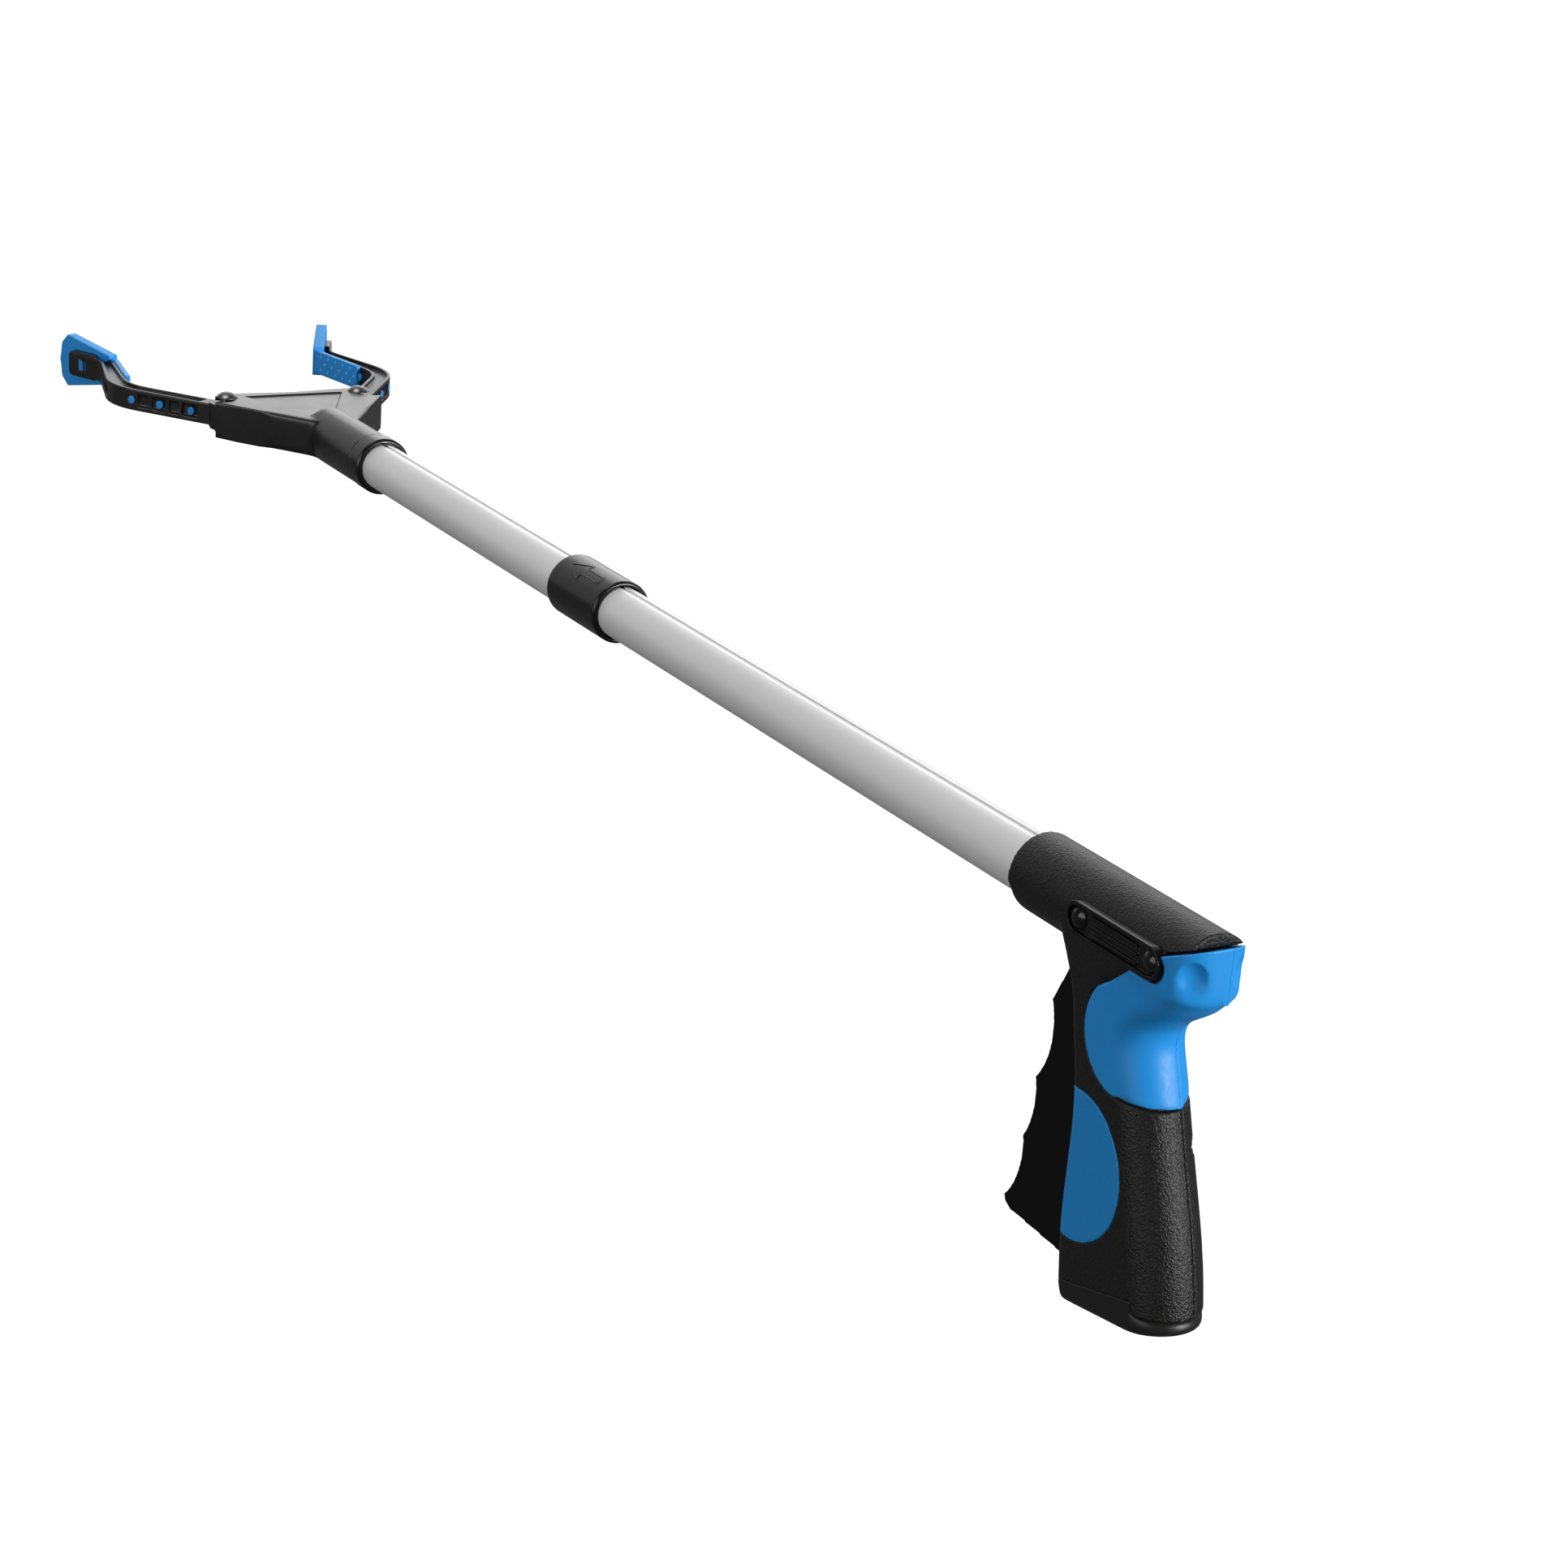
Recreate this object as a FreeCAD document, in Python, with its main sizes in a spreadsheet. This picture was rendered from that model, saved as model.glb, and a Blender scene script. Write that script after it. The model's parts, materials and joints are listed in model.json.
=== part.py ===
import FreeCAD, Part
import math
import os
import Sketcher
from FreeCAD import Placement, Rotation, Vector

# Folding reacher grabber, millimetres.
# +X runs along the shaft towards the jaws, +Y is to the user's left, +Z is up.
# The origin is on the shaft's axis, at the front rim of the handle's barrel.

doc = FreeCAD.newDocument("reacher_grabber")
sheet = doc.addObject("Spreadsheet::Sheet", "Dims")

SIZES = {
    # shaft
    "tube_radius": 9.5, "tube_wall": 1.2, "key_width": 2.0, "key_depth": 0.5,
    "rear_tube_back": -26, "rear_tube_front": 274.4,
    "front_tube_back": 310, "front_tube_front": 497, "slip": 0.05,
    # barrel and grip
    "barrel_radius": 12.3, "barrel_back": -84, "barrel_bore": 9.6, "seam_y": -3.5,
    "bore_back": -74.5, "skin": 1.3, "shell_wall": 2.6, "corner_radius": 4,
    "cavity_top": -16, "slot_half": 6.5, "slot_top": -13.5, "slot_bottom": -109.6,
    "slot_back": -52, "link_slot_back": -67, "link_slot_front": -30, "link_slot_top": -4,
    "press": 0.02,
    "spur_back": -87, "spur_half": 12.9, "spur_front": -70, "spur_corner": 11, "lip_x": -75.5,
    "lip_front": 4, "lip_back": 8.8, "lip_gap": 0.8, "barrel_core": 9,
    "barrel_core_back": -80.5, "spur_solid_x": -77, "grip_half": 12.2,
    "panel_x": -61.5, "panel_z": -27, "panel_radius": 17.5,
    "inlay_x": -46, "inlay_z": -71.8, "inlay_radius": 23,
    "cap_front_top": -111.5, "cap_step_top": -99.5, "cap_step": 3.7, "cap_step_x": -80,
    "cap_front_bottom": -117.4, "cap_back_bottom": -106.5,
    "spur_bottom": -8.5, "spur_deep": -15,
    "dimple_x": -88.8, "dimple_y": 10.8, "dimple_z": 0, "dimple_radius": 7,
    # screws
    "screw_radius": 1.2, "screw_tip": 6, "screw_head_radius": 2.5, "screw_head_height": 1.9,
    "screw_slot": 0.6, "boss_radius": 3, "boss_reach": 10.2,
    # side plates, pivot and cross bolt
    "pivot_x": -37, "pivot_z": 0.9, "bolt_x": -71.6, "plate_radius": 5.1, "plate_face": 13.9,
    "channel_radius": 3.9, "channel_depth": 1.4, "pivot_pin_radius": 2, "dome_radius": 3.7,
    "dome_height": 1.8, "pin_inner": 2.9,
    # trigger and linkage
    "trigger_half": 6, "fork_half": 2.5, "fork_bottom": -28.5, "head_radius": 5.6,
    "crank_arm": 25, "crank_lead": 10, "link_half": 1.9, "link_pin_radius": 1.5,
    "link_width": 5.4, "open_pivot_gap": 0.5, "shuttle_pin_x": -54, "shuttle_front": -46,
    "shuttle_wall": 2.8, "shuttle_back": -60, "scallop_radius": 26,
    # fold joint
    "rear_fold_x": 281.5, "front_fold_x": 303.5, "knuckle_reach": 6, "knuckle_depth": 28,
    "cheek_inner": 3.2, "cheek_outer": 6.4, "link_cheek_inner": 1.6, "link_cheek_outer": 3.1,
    "fold_pin_radius": 1.8, "web_inner": 3.4, "web_margin": 5,
    "sleeve_back": 273, "sleeve_front": 312, "sleeve_radius": 11.7, "sleeve_clear": 0.6,
    "sleeve_lap": 12,
    # cord
    "cord_radius": 0.8, "cord_bore": 1.5, "cord_rear_front": 277, "cord_link_margin": 3.5,
    "cord_front_back": 314, "ferrule_radius": 2, "ferrule_length": 6,
    # head
    "ring_back": 492, "ring_front": 502, "ring_radius": 11.9, "ring_seat": 498,
    "plug_back": 484, "plug_front": 519.5, "plug_radius": 8, "clip_x": 516.2, "clip_width": 1,
    "clip_radius": 9.2, "clip_groove": 7.2, "neck_back": 502.2, "neck_radius": 11.6,
    "chamber_radius": 9.4, "neck_front": 553, "neck_slope": 5, "wing_root": 8.3,
    "housing_half": 8, "housing_plate": 2.2,
    "rivet_x": 594, "rivet_y": 30.7, "rivet_radius": 2.5, "rivet_dome": 4.9, "rivet_rise": 2.4,
    "wing_angle": 34.6, "wing_offset": 11.2, "wing_wall": 2.2, "wing_end": 6, "wing_round": 6,
    "front_edge_x": 600.5, "front_edge_y": 27,
    "panel_back_x": 562, "panel_back_y": 7, "panel_front_x": 594, "panel_front_y": 23,
    "panel_recess": 0.6,
    # yoke and return spring
    "disc_back": 547.5, "disc_front": 550.5, "disc_radius": 8.8, "stem_half": 4, "bar_back": 589,
    "bar_front": 600, "bar_half": 17, "yoke_half": 1.5, "slot_inner": 10.1, "slot_outer": 15.1,
    "spring_radius": 6.5, "spring_wire": 0.6, "spring_turns": 7,
    # jaws, measured from their rivet
    "jaw_half": 4.7, "jaw_disc": 7.5, "jaw_disc_half": 5.6, "inner_arm": 18.8, "inner_lead": 5,
    "inner_width": 6.6, "fork_gap": 1.7, "jaw_pin_radius": 1.5,
    "elbow_reach": 13, "wrist_reach": 5, "elbow_dx": 47, "elbow_dy": 33, "pad_dx": 95,
    "pad_dy": 22.6, "tip_dx": 115.4, "tip_dy": 32.1,
    "arm_half": 4.3, "wrist_half": 3.1, "tip_half": 2.1, "rail": 1.5, "rail_depth": 1.7,
    "liner_thick": 2.4, "liner_half": 5.4, "pad_thick": 3.4, "pad_length": 31,
    "pad_back_half": 6.7, "pad_front_half": 12, "pad_clip": 5, "pad_wrap": 1.6,
    "stud_radius": 1.7, "pocket_half": 2.6, "pocket_depth": 1.2, "end_half": 5.7,
    "end_length": 19, "end_corner": 2.5, "end_plug": 2.6,
}


class Size:
    """A number together with the sheet expression that it comes from."""

    def __init__(self, value, text):
        self.value = float(value)
        self.text = text

    def __add__(self, other):
        other = size(other)
        return Size(self.value + other.value, f"({self.text} + {other.text})")

    def __sub__(self, other):
        other = size(other)
        return Size(self.value - other.value, f"({self.text} - {other.text})")

    def __mul__(self, other):
        other = size(other)
        return Size(self.value * other.value, f"({self.text} * {other.text})")

    def __truediv__(self, other):
        other = size(other)
        return Size(self.value / other.value, f"({self.text} / {other.text})")

    def __neg__(self):
        return Size(-self.value, f"(-1 * {self.text})")

    __radd__ = __add__
    __rmul__ = __mul__

    def __rsub__(self, other):
        return size(other) - self


def size(value):
    return value if isinstance(value, Size) else Size(value, f"({float(value):.6f})")


def sine(angle):
    return Size(math.sin(math.radians(angle.value)), f"sin({angle.text} * 1 deg)")


def cosine(angle):
    return Size(math.cos(math.radians(angle.value)), f"cos({angle.text} * 1 deg)")


class Dims:
    """The sheet's cells, read by name: d.tube_radius."""

    def __getattr__(self, name):
        return Size(SIZES[name], f"Dims.{name}")


for row, (alias, number) in enumerate(SIZES.items(), start=1):
    sheet.set(f"A{row}", alias)
    sheet.set(f"B{row}", str(number))
    sheet.setAlias(f"B{row}", alias)
doc.recompute()
d = Dims()
NODES = []


# ---------------------------------------------------------------- helpers

def node(obj, label):
    """Marks an object as a finished sub-part under its own name."""
    obj.Label = label
    NODES.append(obj)
    return obj


def bind(obj, **properties):
    """Sets properties from the sheet: Radius=..., or Placement_Base_x=..."""
    for name, value in properties.items():
        value = size(value)
        path = name.replace("_", ".")
        if "." not in path:
            setattr(obj, path, value.value)
        obj.setExpression(path, value.text)
    return obj


def place(obj, x=0, y=0, z=0, rotation=None):
    x, y, z = size(x), size(y), size(z)
    obj.Placement = Placement(Vector(x.value, y.value, z.value), rotation or Rotation())
    for axis, value in (("x", x), ("y", y), ("z", z)):
        obj.setExpression(f"Placement.Base.{axis}", value.text)
    return obj


# How a cylinder that stands along Z is turned to lie along each axis.
ALONG = {"X": Rotation(Vector(0, 1, 0), 90), "Y": Rotation(Vector(1, 0, 0), -90),
         "Z": Rotation()}


def box(name, x_span, y_span, z_span):
    obj = doc.addObject("Part::Box", name)
    spans = [(size(low), size(high)) for low, high in (x_span, y_span, z_span)]
    bind(obj, Length=spans[0][1] - spans[0][0], Width=spans[1][1] - spans[1][0],
         Height=spans[2][1] - spans[2][0])
    return place(obj, *[low for low, high in spans])


def rod(name, radius, start, end, axis="X", x=0, y=0, z=0):
    """A cylinder from start to end along its axis, through the point x, y, z."""
    obj = doc.addObject("Part::Cylinder", name)
    start, end = size(start), size(end)
    bind(obj, Radius=radius, Height=end - start)
    spot = {"X": (start, y, z), "Y": (x, start, z), "Z": (x, y, start)}[axis]
    return place(obj, *spot, rotation=ALONG[axis])


def fuse(name, *parts):
    obj = doc.addObject("Part::MultiFuse", name)
    obj.Shapes = list(parts)
    obj.Refine = True
    return obj


def cut(name, base, *tools):
    obj = doc.addObject("Part::Cut", name)
    obj.Base = base
    obj.Tool = tools[0] if len(tools) == 1 else fuse(name + "_tools", *tools)
    return obj


def common(name, base, tool):
    obj = doc.addObject("Part::Common", name)
    obj.Base = base
    obj.Tool = tool
    return obj


def mirror(name, source):
    """The same piece on the other side of the XZ plane."""
    obj = doc.addObject("Part::Mirroring", name)
    obj.Source = source
    obj.Normal = Vector(0, 1, 0)
    return obj


def mirrored_node(source, label):
    return node(mirror(label + "_mirror", source), label)


def pipe(name, outer, inner, start, end):
    return cut(name, rod(name + "_outer", outer, start, end),
               rod(name + "_inner", inner, start - size(1), end + size(1)))


def outline(sketch, points):
    """Draws a closed outline. A point is (x, y) or (x, y, radius, side): with a radius, the
    edge that leaves it is an arc, and side is +1 when the arc bulges to the left."""
    count = len(points)
    for index, point in enumerate(points):
        here = Vector(size(point[0]).value, size(point[1]).value, 0)
        after = points[(index + 1) % count]
        there = Vector(size(after[0]).value, size(after[1]).value, 0)
        if len(point) == 2:
            sketch.addGeometry(Part.LineSegment(here, there), False)
        else:
            chord = there - here
            left = Vector(-chord.y, chord.x, 0).normalize()
            radius = size(point[2]).value
            rise = radius - math.sqrt(radius ** 2 - (chord.Length / 2) ** 2)
            middle = here + chord * 0.5 + left * rise * point[3]
            sketch.addGeometry(Part.Arc(here, middle, there), False)
    ends = {}
    for index, point in enumerate(points):
        arc = sketch.Geometry[index]
        start_here = len(point) == 2 or point[3] < 0
        ends[index] = (1, 2) if start_here else (2, 1)
        if hasattr(arc, "Radius"):
            here = Vector(size(point[0]).value, size(point[1]).value, 0)
            ends[index] = (1, 2) if arc.StartPoint.distanceToPoint(here) < 1e-6 else (2, 1)
    for index in range(count):
        after = (index + 1) % count
        sketch.addConstraint(Sketcher.Constraint(
            "Coincident", index, ends[index][1], after, ends[after][0]))
    for index, point in enumerate(points):
        for kind, value in (("DistanceX", size(point[0])), ("DistanceY", size(point[1]))):
            number = sketch.addConstraint(Sketcher.Constraint(
                kind, -1, 1, index, ends[index][0], value.value))
            sketch.setExpression(f"Constraints[{number}]", value.text)
        if len(point) > 2:
            number = sketch.addConstraint(Sketcher.Constraint(
                "Radius", index, size(point[2]).value))
            sketch.setExpression(f"Constraints[{number}]", size(point[2]).text)


def sketch_on(body, plane, name):
    sketch = body.newObject("Sketcher::SketchObject", name)
    origin = [f for f in body.Origin.OriginFeatures if f.Role == plane][0]
    sketch.AttachmentSupport = [(origin, "")]
    sketch.MapMode = "FlatFace"
    return sketch


def slab(name, plane, points, half, **spot):
    """A PartDesign body: an outline on a plane, padded the same way to both sides."""
    body = doc.addObject("PartDesign::Body", name)
    outline(sketch_on(body, plane, name + "_outline"), points)
    pad = body.newObject("PartDesign::Pad", name + "_pad")
    pad.Profile = doc.getObject(name + "_outline")
    pad.Midplane = True
    bind(pad, Length=size(half) * 2)
    if spot:
        place(body, **spot)
    return body


def turned(name, points):
    """A PartDesign body: an outline of (x, radius) points, turned about the shaft's axis."""
    body = doc.addObject("PartDesign::Body", name)
    sketch = sketch_on(body, "XZ_Plane", name + "_outline")
    outline(sketch, points)
    turn = body.newObject("PartDesign::Revolution", name + "_turn")
    turn.Profile = sketch
    turn.ReferenceAxis = (sketch, ["H_Axis"])
    turn.Angle = 360
    return body


def obround(name, x_back, x_front, z, radius, y_span):
    """A slot-shaped plate that stands in the XZ plane."""
    ends = [rod(f"{name}_{tag}", radius, *y_span, axis="Y", x=x, z=z)
            for tag, x in (("back", x_back), ("front", x_front))]
    return fuse(name, box(name + "_middle", (x_back, x_front), y_span,
                          (z - radius, z + radius)), *ends)


def dome(name, radius, rise, base, axis="Y", x=0, y=0, z=0, flip=False):
    """A low domed head: the cap of a sphere, standing on its base plane."""
    radius, rise, base = size(radius), size(rise), size(base)
    ball_radius = (radius * radius + rise * rise) / (rise * 2)
    depth = ball_radius - rise
    cap = doc.addObject("Part::Sphere", name)
    latitude = math.degrees(math.asin(depth.value / ball_radius.value))
    bind(cap, Radius=ball_radius,
         Angle1=Size(latitude, f"asin({depth.text} / {ball_radius.text})"))
    middle = base + depth if flip else base - depth
    turn = ALONG[axis]
    if flip:
        turn = Rotation(Vector(1, 0, 0), 180).multiply(turn)
    spot = {"Y": (x, middle, z), "Z": (x, y, middle)}[axis]
    return place(cap, *spot, rotation=turn)


# ---------------------------------------------------------------- grip forms

# Height, front edge, back edge and half width of the grip's cross-sections, from the base up.
GRIP_SECTIONS = (
    (-121, -44.5, -93.5, 12.8),
    (-100, -42.3, -89.6, 12.7),
    (-75, -41.3, -83, 12.4),
    (-50, -40.3, -74.6, 12.1),
    (-34, -37, -69.3, 12.0),
    (-19, -33, -73, 12.0),
    (-12, -29, -83, 12.1),
    (-8, -26.5, -86.2, 12.2),
    (0, -24, -87, 12.2),
)


def section_wire(height, front, back, half, inset, corner):
    """A flat front with rounded corners, straight sides and a full-round back."""
    front, back, half = front - inset, back + inset, half - inset
    corner = max(corner - inset, 1.0)
    side = half - corner
    turn = back + half
    slant = corner * (1 - math.sqrt(0.5))

    def at(x, y):
        return Vector(x, y, height)

    return Part.Wire([
        Part.LineSegment(at(front, -side), at(front, side)).toShape(),
        Part.Arc(at(front, side), at(front - slant, half - slant),
                 at(front - corner, half)).toShape(),
        Part.LineSegment(at(front - corner, half), at(turn, half)).toShape(),
        Part.Arc(at(turn, half), at(back, 0), at(turn, -half)).toShape(),
        Part.LineSegment(at(turn, -half), at(front - corner, -half)).toShape(),
        Part.Arc(at(front - corner, -half), at(front - slant, slant - half),
                 at(front, -side)).toShape(),
    ])


def grip_form(name, inset):
    """The hand grip's outer form, or the same form moved in by an inset."""
    form = doc.addObject("Part::Feature", name)
    wires = [section_wire(*row, inset.value, d.corner_radius.value) for row in GRIP_SECTIONS]
    form.Shape = Part.makeLoft(wires, True, False)
    form.Placement = Placement()
    return form


grip_outer = grip_form("grip_outer_form", size(0))
grip_core = grip_form("grip_core_form", d.skin)
grip_cavity = grip_form("grip_cavity_form", d.shell_wall)
doc.recompute()
WIDE = 40


def side_cutter(name, points):
    """An outline in the XZ plane, run right across the handle."""
    return slab(name, "XZ_Plane", points, WIDE)


def barrel_rod(name):
    return rod(name, d.barrel_radius, d.barrel_back, 0)


def cap_region(name):
    slope_front, slope_back = -36, -100
    return side_cutter(name, [
        (slope_front, d.cap_front_bottom), (slope_front, d.cap_front_top),
        (d.cap_step_x, d.cap_step_top), (d.cap_step_x, d.cap_step_top - d.cap_step),
        (slope_back, d.cap_step_top - d.cap_step), (slope_back, d.cap_back_bottom)])


def below_cap(name):
    return side_cutter(name, [
        (-30, -130), (-30, d.cap_front_bottom), (-36, d.cap_front_bottom),
        (-100, d.cap_back_bottom), (-110, d.cap_back_bottom), (-110, -130)])


def panel_back(name):
    """The side outline of the rubber behind its round front: back into the spur."""
    return side_cutter(name, [
        (-100, 1), (-75, 1), (-66, -2.5), (-61.5, -4), (-50.9, -13.3), (d.panel_x, d.panel_z),
        (d.panel_x, d.panel_z - d.panel_radius), (-100, -49)])


def panel_round(name):
    return rod(name, d.panel_radius, -20, 20, axis="Y", x=d.panel_x, z=d.panel_z)


# ---------------------------------------------------------------- handle shells and covers

def lip_line(rise):
    """The rubber's upper edge behind the barrel, or a line a little above it."""
    return [(d.lip_x, d.lip_front + rise), (d.spur_back, d.lip_back + rise),
            (-100, d.lip_back + rise)]


def barrel_core(name):
    """The thinner end of the barrel, which the rubber wraps."""
    return rod(name, d.barrel_core, d.barrel_core_back, d.spur_front)


def inner_grip(name):
    """The black core under the rubber; behind the barrel the rubber is solid."""
    behind = box(name + "_behind", (-100, d.spur_solid_x), (-20, 20), (d.spur_deep, 9))
    return cut(name, grip_core, behind)


def collar_form():
    """The spur and the lip that wraps the barrel's back end, as one solid block."""
    turn_x = d.spur_back + d.spur_corner
    turn_y = d.spur_half - d.spur_corner
    plan = slab("collar_plan", "XY_Plane", [
        (d.spur_front, d.grip_half), (turn_x, d.spur_half, d.spur_corner, -1),
        (d.spur_back, turn_y), (d.spur_back, -turn_y, d.spur_corner, -1),
        (turn_x, -d.spur_half), (d.spur_front, -d.grip_half)], WIDE)
    side = side_cutter("collar_side", [
        (-100, d.spur_bottom), (d.spur_front, d.spur_bottom), (d.spur_front, -2)]
        + lip_line(0))
    return common("collar_body", plan, side)


def rubber_form():
    """The overmoulded rubber of both halves: a skin on the grip, solid behind the barrel."""
    blank = fuse("rubber_blank",
                 common("panel_back_form", grip_outer, panel_back("panel_outline")),
                 common("panel_round_form", grip_outer, panel_round("panel_rod")),
                 collar_form())
    return cut("rubber", blank, inner_grip("rubber_core"), barrel_core("rubber_barrel_core"),
               rod("rubber_barrel", d.barrel_radius, d.lip_x, 0))


def barrel_relief():
    """What is taken off the black barrel where the rubber wraps it, with a gap above the lip."""
    region = side_cutter("relief_side", [
        (-100, d.spur_deep), (d.lip_x, d.spur_deep)] + lip_line(d.lip_gap))
    return cut("relief", region, inner_grip("relief_grip"), barrel_core("relief_core"))


def side_of_seam(name, left):
    span = (d.seam_y, WIDE) if left else (-WIDE, d.seam_y)
    return box(name, (-120, 30), span, (-140, 30))


def pin_hole(name, x):
    """A hole right across the handle for the trigger's pivot or the cross bolt."""
    return rod(name, d.pivot_pin_radius + d.press, -20, 20, axis="Y", x=x, z=d.pivot_z)


def pocket_tools(tag):
    """What both shells are hollowed by: the cavity, the trigger's slot and the barrel's bore."""
    return [
        common(f"cavity_{tag}", grip_cavity, box(
            f"cavity_reach_{tag}", (-100, 0), (-WIDE, WIDE), (-125, d.cavity_top))),
        box(f"trigger_slot_{tag}", (d.slot_back, -20), (-d.slot_half, d.slot_half),
            (d.slot_bottom, d.slot_top)),
        rod(f"bore_{tag}", d.barrel_bore, d.bore_back, d.rear_tube_back + 0.2),
        rod(f"tube_seat_{tag}", d.tube_radius + d.press, d.rear_tube_back - 1, 2),
        box(f"barrel_slot_{tag}", (d.link_slot_back, d.link_slot_front),
            (-d.slot_half, d.slot_half), (d.cavity_top, d.link_slot_top)),
        pin_hole(f"pivot_hole_{tag}", d.pivot_x),
        pin_hole(f"bolt_hole_{tag}", d.bolt_x),
    ]


# Screw bosses: x, z and how far out the screw's head sits on the right side.
SCREWS = ((-79, -88, 8.6), (-71.2, -58.5, 8.2))


def screw_features(kind):
    """Bosses, pilot holes or head pockets, for every screw."""
    shapes = []
    for index, (x, z, head) in enumerate(SCREWS):
        name = f"{kind}_{index}"
        radius, start, end = {
            "boss_left": (d.boss_radius, d.seam_y, d.boss_reach),
            "boss_right": (d.boss_radius + 0.6, -d.boss_reach, d.seam_y),
            "pilot": (d.screw_radius + 0.1, -d.boss_reach, d.screw_tip + 0.5),
            "clearance": (d.screw_radius + 0.2, size(-20), size(0)),
            "head_pocket": (d.screw_head_radius + 0.3, size(-20), size(1.6 - head)),
        }[kind]
        shapes.append(rod(name, radius, start, end, axis="Y", x=x, z=z))
    return shapes


def lens_rod(name, y_span):
    return rod(name, d.inlay_radius, *y_span, axis="Y", x=d.inlay_x, z=d.inlay_z)


def skin_piece(name, region):
    """The outer skin of the grip within a region, without the barrel and the cap."""
    patch = common(name + "_patch", grip_outer, region)
    return cut(name, patch, grip_core, barrel_rod(name + "_barrel"),
               cap_region(name + "_cap"), below_cap(name + "_below"))


def build_handle():
    rubber = rubber_form()
    inlay_left = cut("inlay_left_piece", skin_piece("inlay_left_patch", lens_rod("lens_l", (0, 20))),
                     box("inlay_slot_l", (-60, -20), (-d.slot_half, d.slot_half), (-120, -10)))
    inlay_right = mirror("inlay_right_piece", inlay_left)
    blank = fuse("handle_blank", grip_outer, barrel_rod("barrel_blank"))
    bare = cut("handle_bare", blank, barrel_relief(), rubber, inlay_left, inlay_right,
               cap_region("bare_cap"), below_cap("bare_below"))
    barrel_guard = barrel_rod("barrel_guard")

    hollow_left = cut("hollow_left", cut("left_side", bare, cut(
        "right_lower", side_of_seam("right_half", False), barrel_guard)), *pocket_tools("left"))
    inside_left = common("inside_left", fuse("bosses_left", *screw_features("boss_left")),
                         grip_core)
    left = cut("left_drilled", fuse("left_joined", hollow_left, inside_left),
               *screw_features("pilot"))
    node(left, "handle_shell_left")

    right_bare = cut("right_bare", common("right_side", bare, side_of_seam("right_box", False)),
                     barrel_rod("barrel_clear"))
    hollow_right = cut("hollow_right", right_bare, *pocket_tools("right"))
    inside_right = common("inside_right", fuse("bosses_right", *screw_features("boss_right")),
                          cut("core_right", grip_core, barrel_rod("barrel_keep")))
    right = cut("right_drilled", fuse("right_joined", hollow_right, inside_right),
                *screw_features("head_pocket"), *screw_features("clearance"))
    node(right, "handle_shell_right")

    dimples = []
    for tag, way in (("l", 1), ("r", -1)):
        ball = doc.addObject("Part::Sphere", f"dimple_{tag}")
        bind(ball, Radius=d.dimple_radius)
        dimples.append(place(ball, d.dimple_x, d.dimple_y * way, d.dimple_z))
    holes = [rod(f"rubber_hole_{i}", d.screw_head_radius + 0.3, -20, 0, axis="Y", x=x, z=z)
             for i, (x, z, head) in enumerate(SCREWS)]
    holes.append(pin_hole("rubber_bolt_hole", d.bolt_x))
    plate_seats = [obround(f"rubber_seat_{tag}", d.bolt_x, d.pivot_x, d.pivot_z,
                           d.plate_radius + 0.05, span)
                   for tag, span in (("l", (5, 20)), ("r", (-20, -5)))]
    trimmed = cut("rubber_trimmed", rubber, *dimples, *holes, *plate_seats)
    node(common("rubber_left", trimmed, side_of_seam("rubber_left_box", True)),
         "grip_overmould_left")
    node(common("rubber_right", trimmed, side_of_seam("rubber_right_box", False)),
         "grip_overmould_right")
    node(inlay_left, "side_inlay_left")
    node(inlay_right, "side_inlay_right")
    node(common("cap_piece", grip_outer, cap_region("cap_outline")), "base_cap")


def build_side_plates():
    inner = 5
    plate = obround("plate_blank", d.bolt_x, d.pivot_x, d.pivot_z, d.plate_radius,
                    (inner, d.plate_face))
    channel = obround("plate_channel", d.bolt_x, d.pivot_x, d.pivot_z, d.channel_radius,
                      (d.plate_face - d.channel_depth, d.plate_face + 1))
    ribs = [box(f"plate_rib_{index}", (d.bolt_x + 6, d.pivot_x - 6),
                (d.plate_face - d.channel_depth - 0.1, d.plate_face - 0.5),
                (d.pivot_z + offset - 0.35, d.pivot_z + offset + 0.35))
            for index, offset in enumerate((-2.6, 0, 2.6))]
    holes = [pin_hole("plate_hole_front", d.pivot_x), pin_hole("plate_hole_back", d.bolt_x)]
    plate = fuse("plate_ribbed", cut("plate_open", plate, channel), *ribs)
    plate = cut("plate_piece", plate, barrel_rod("plate_barrel"), grip_outer, *holes)
    node(plate, "side_plate_left")
    mirrored_node(plate, "side_plate_right")


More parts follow.
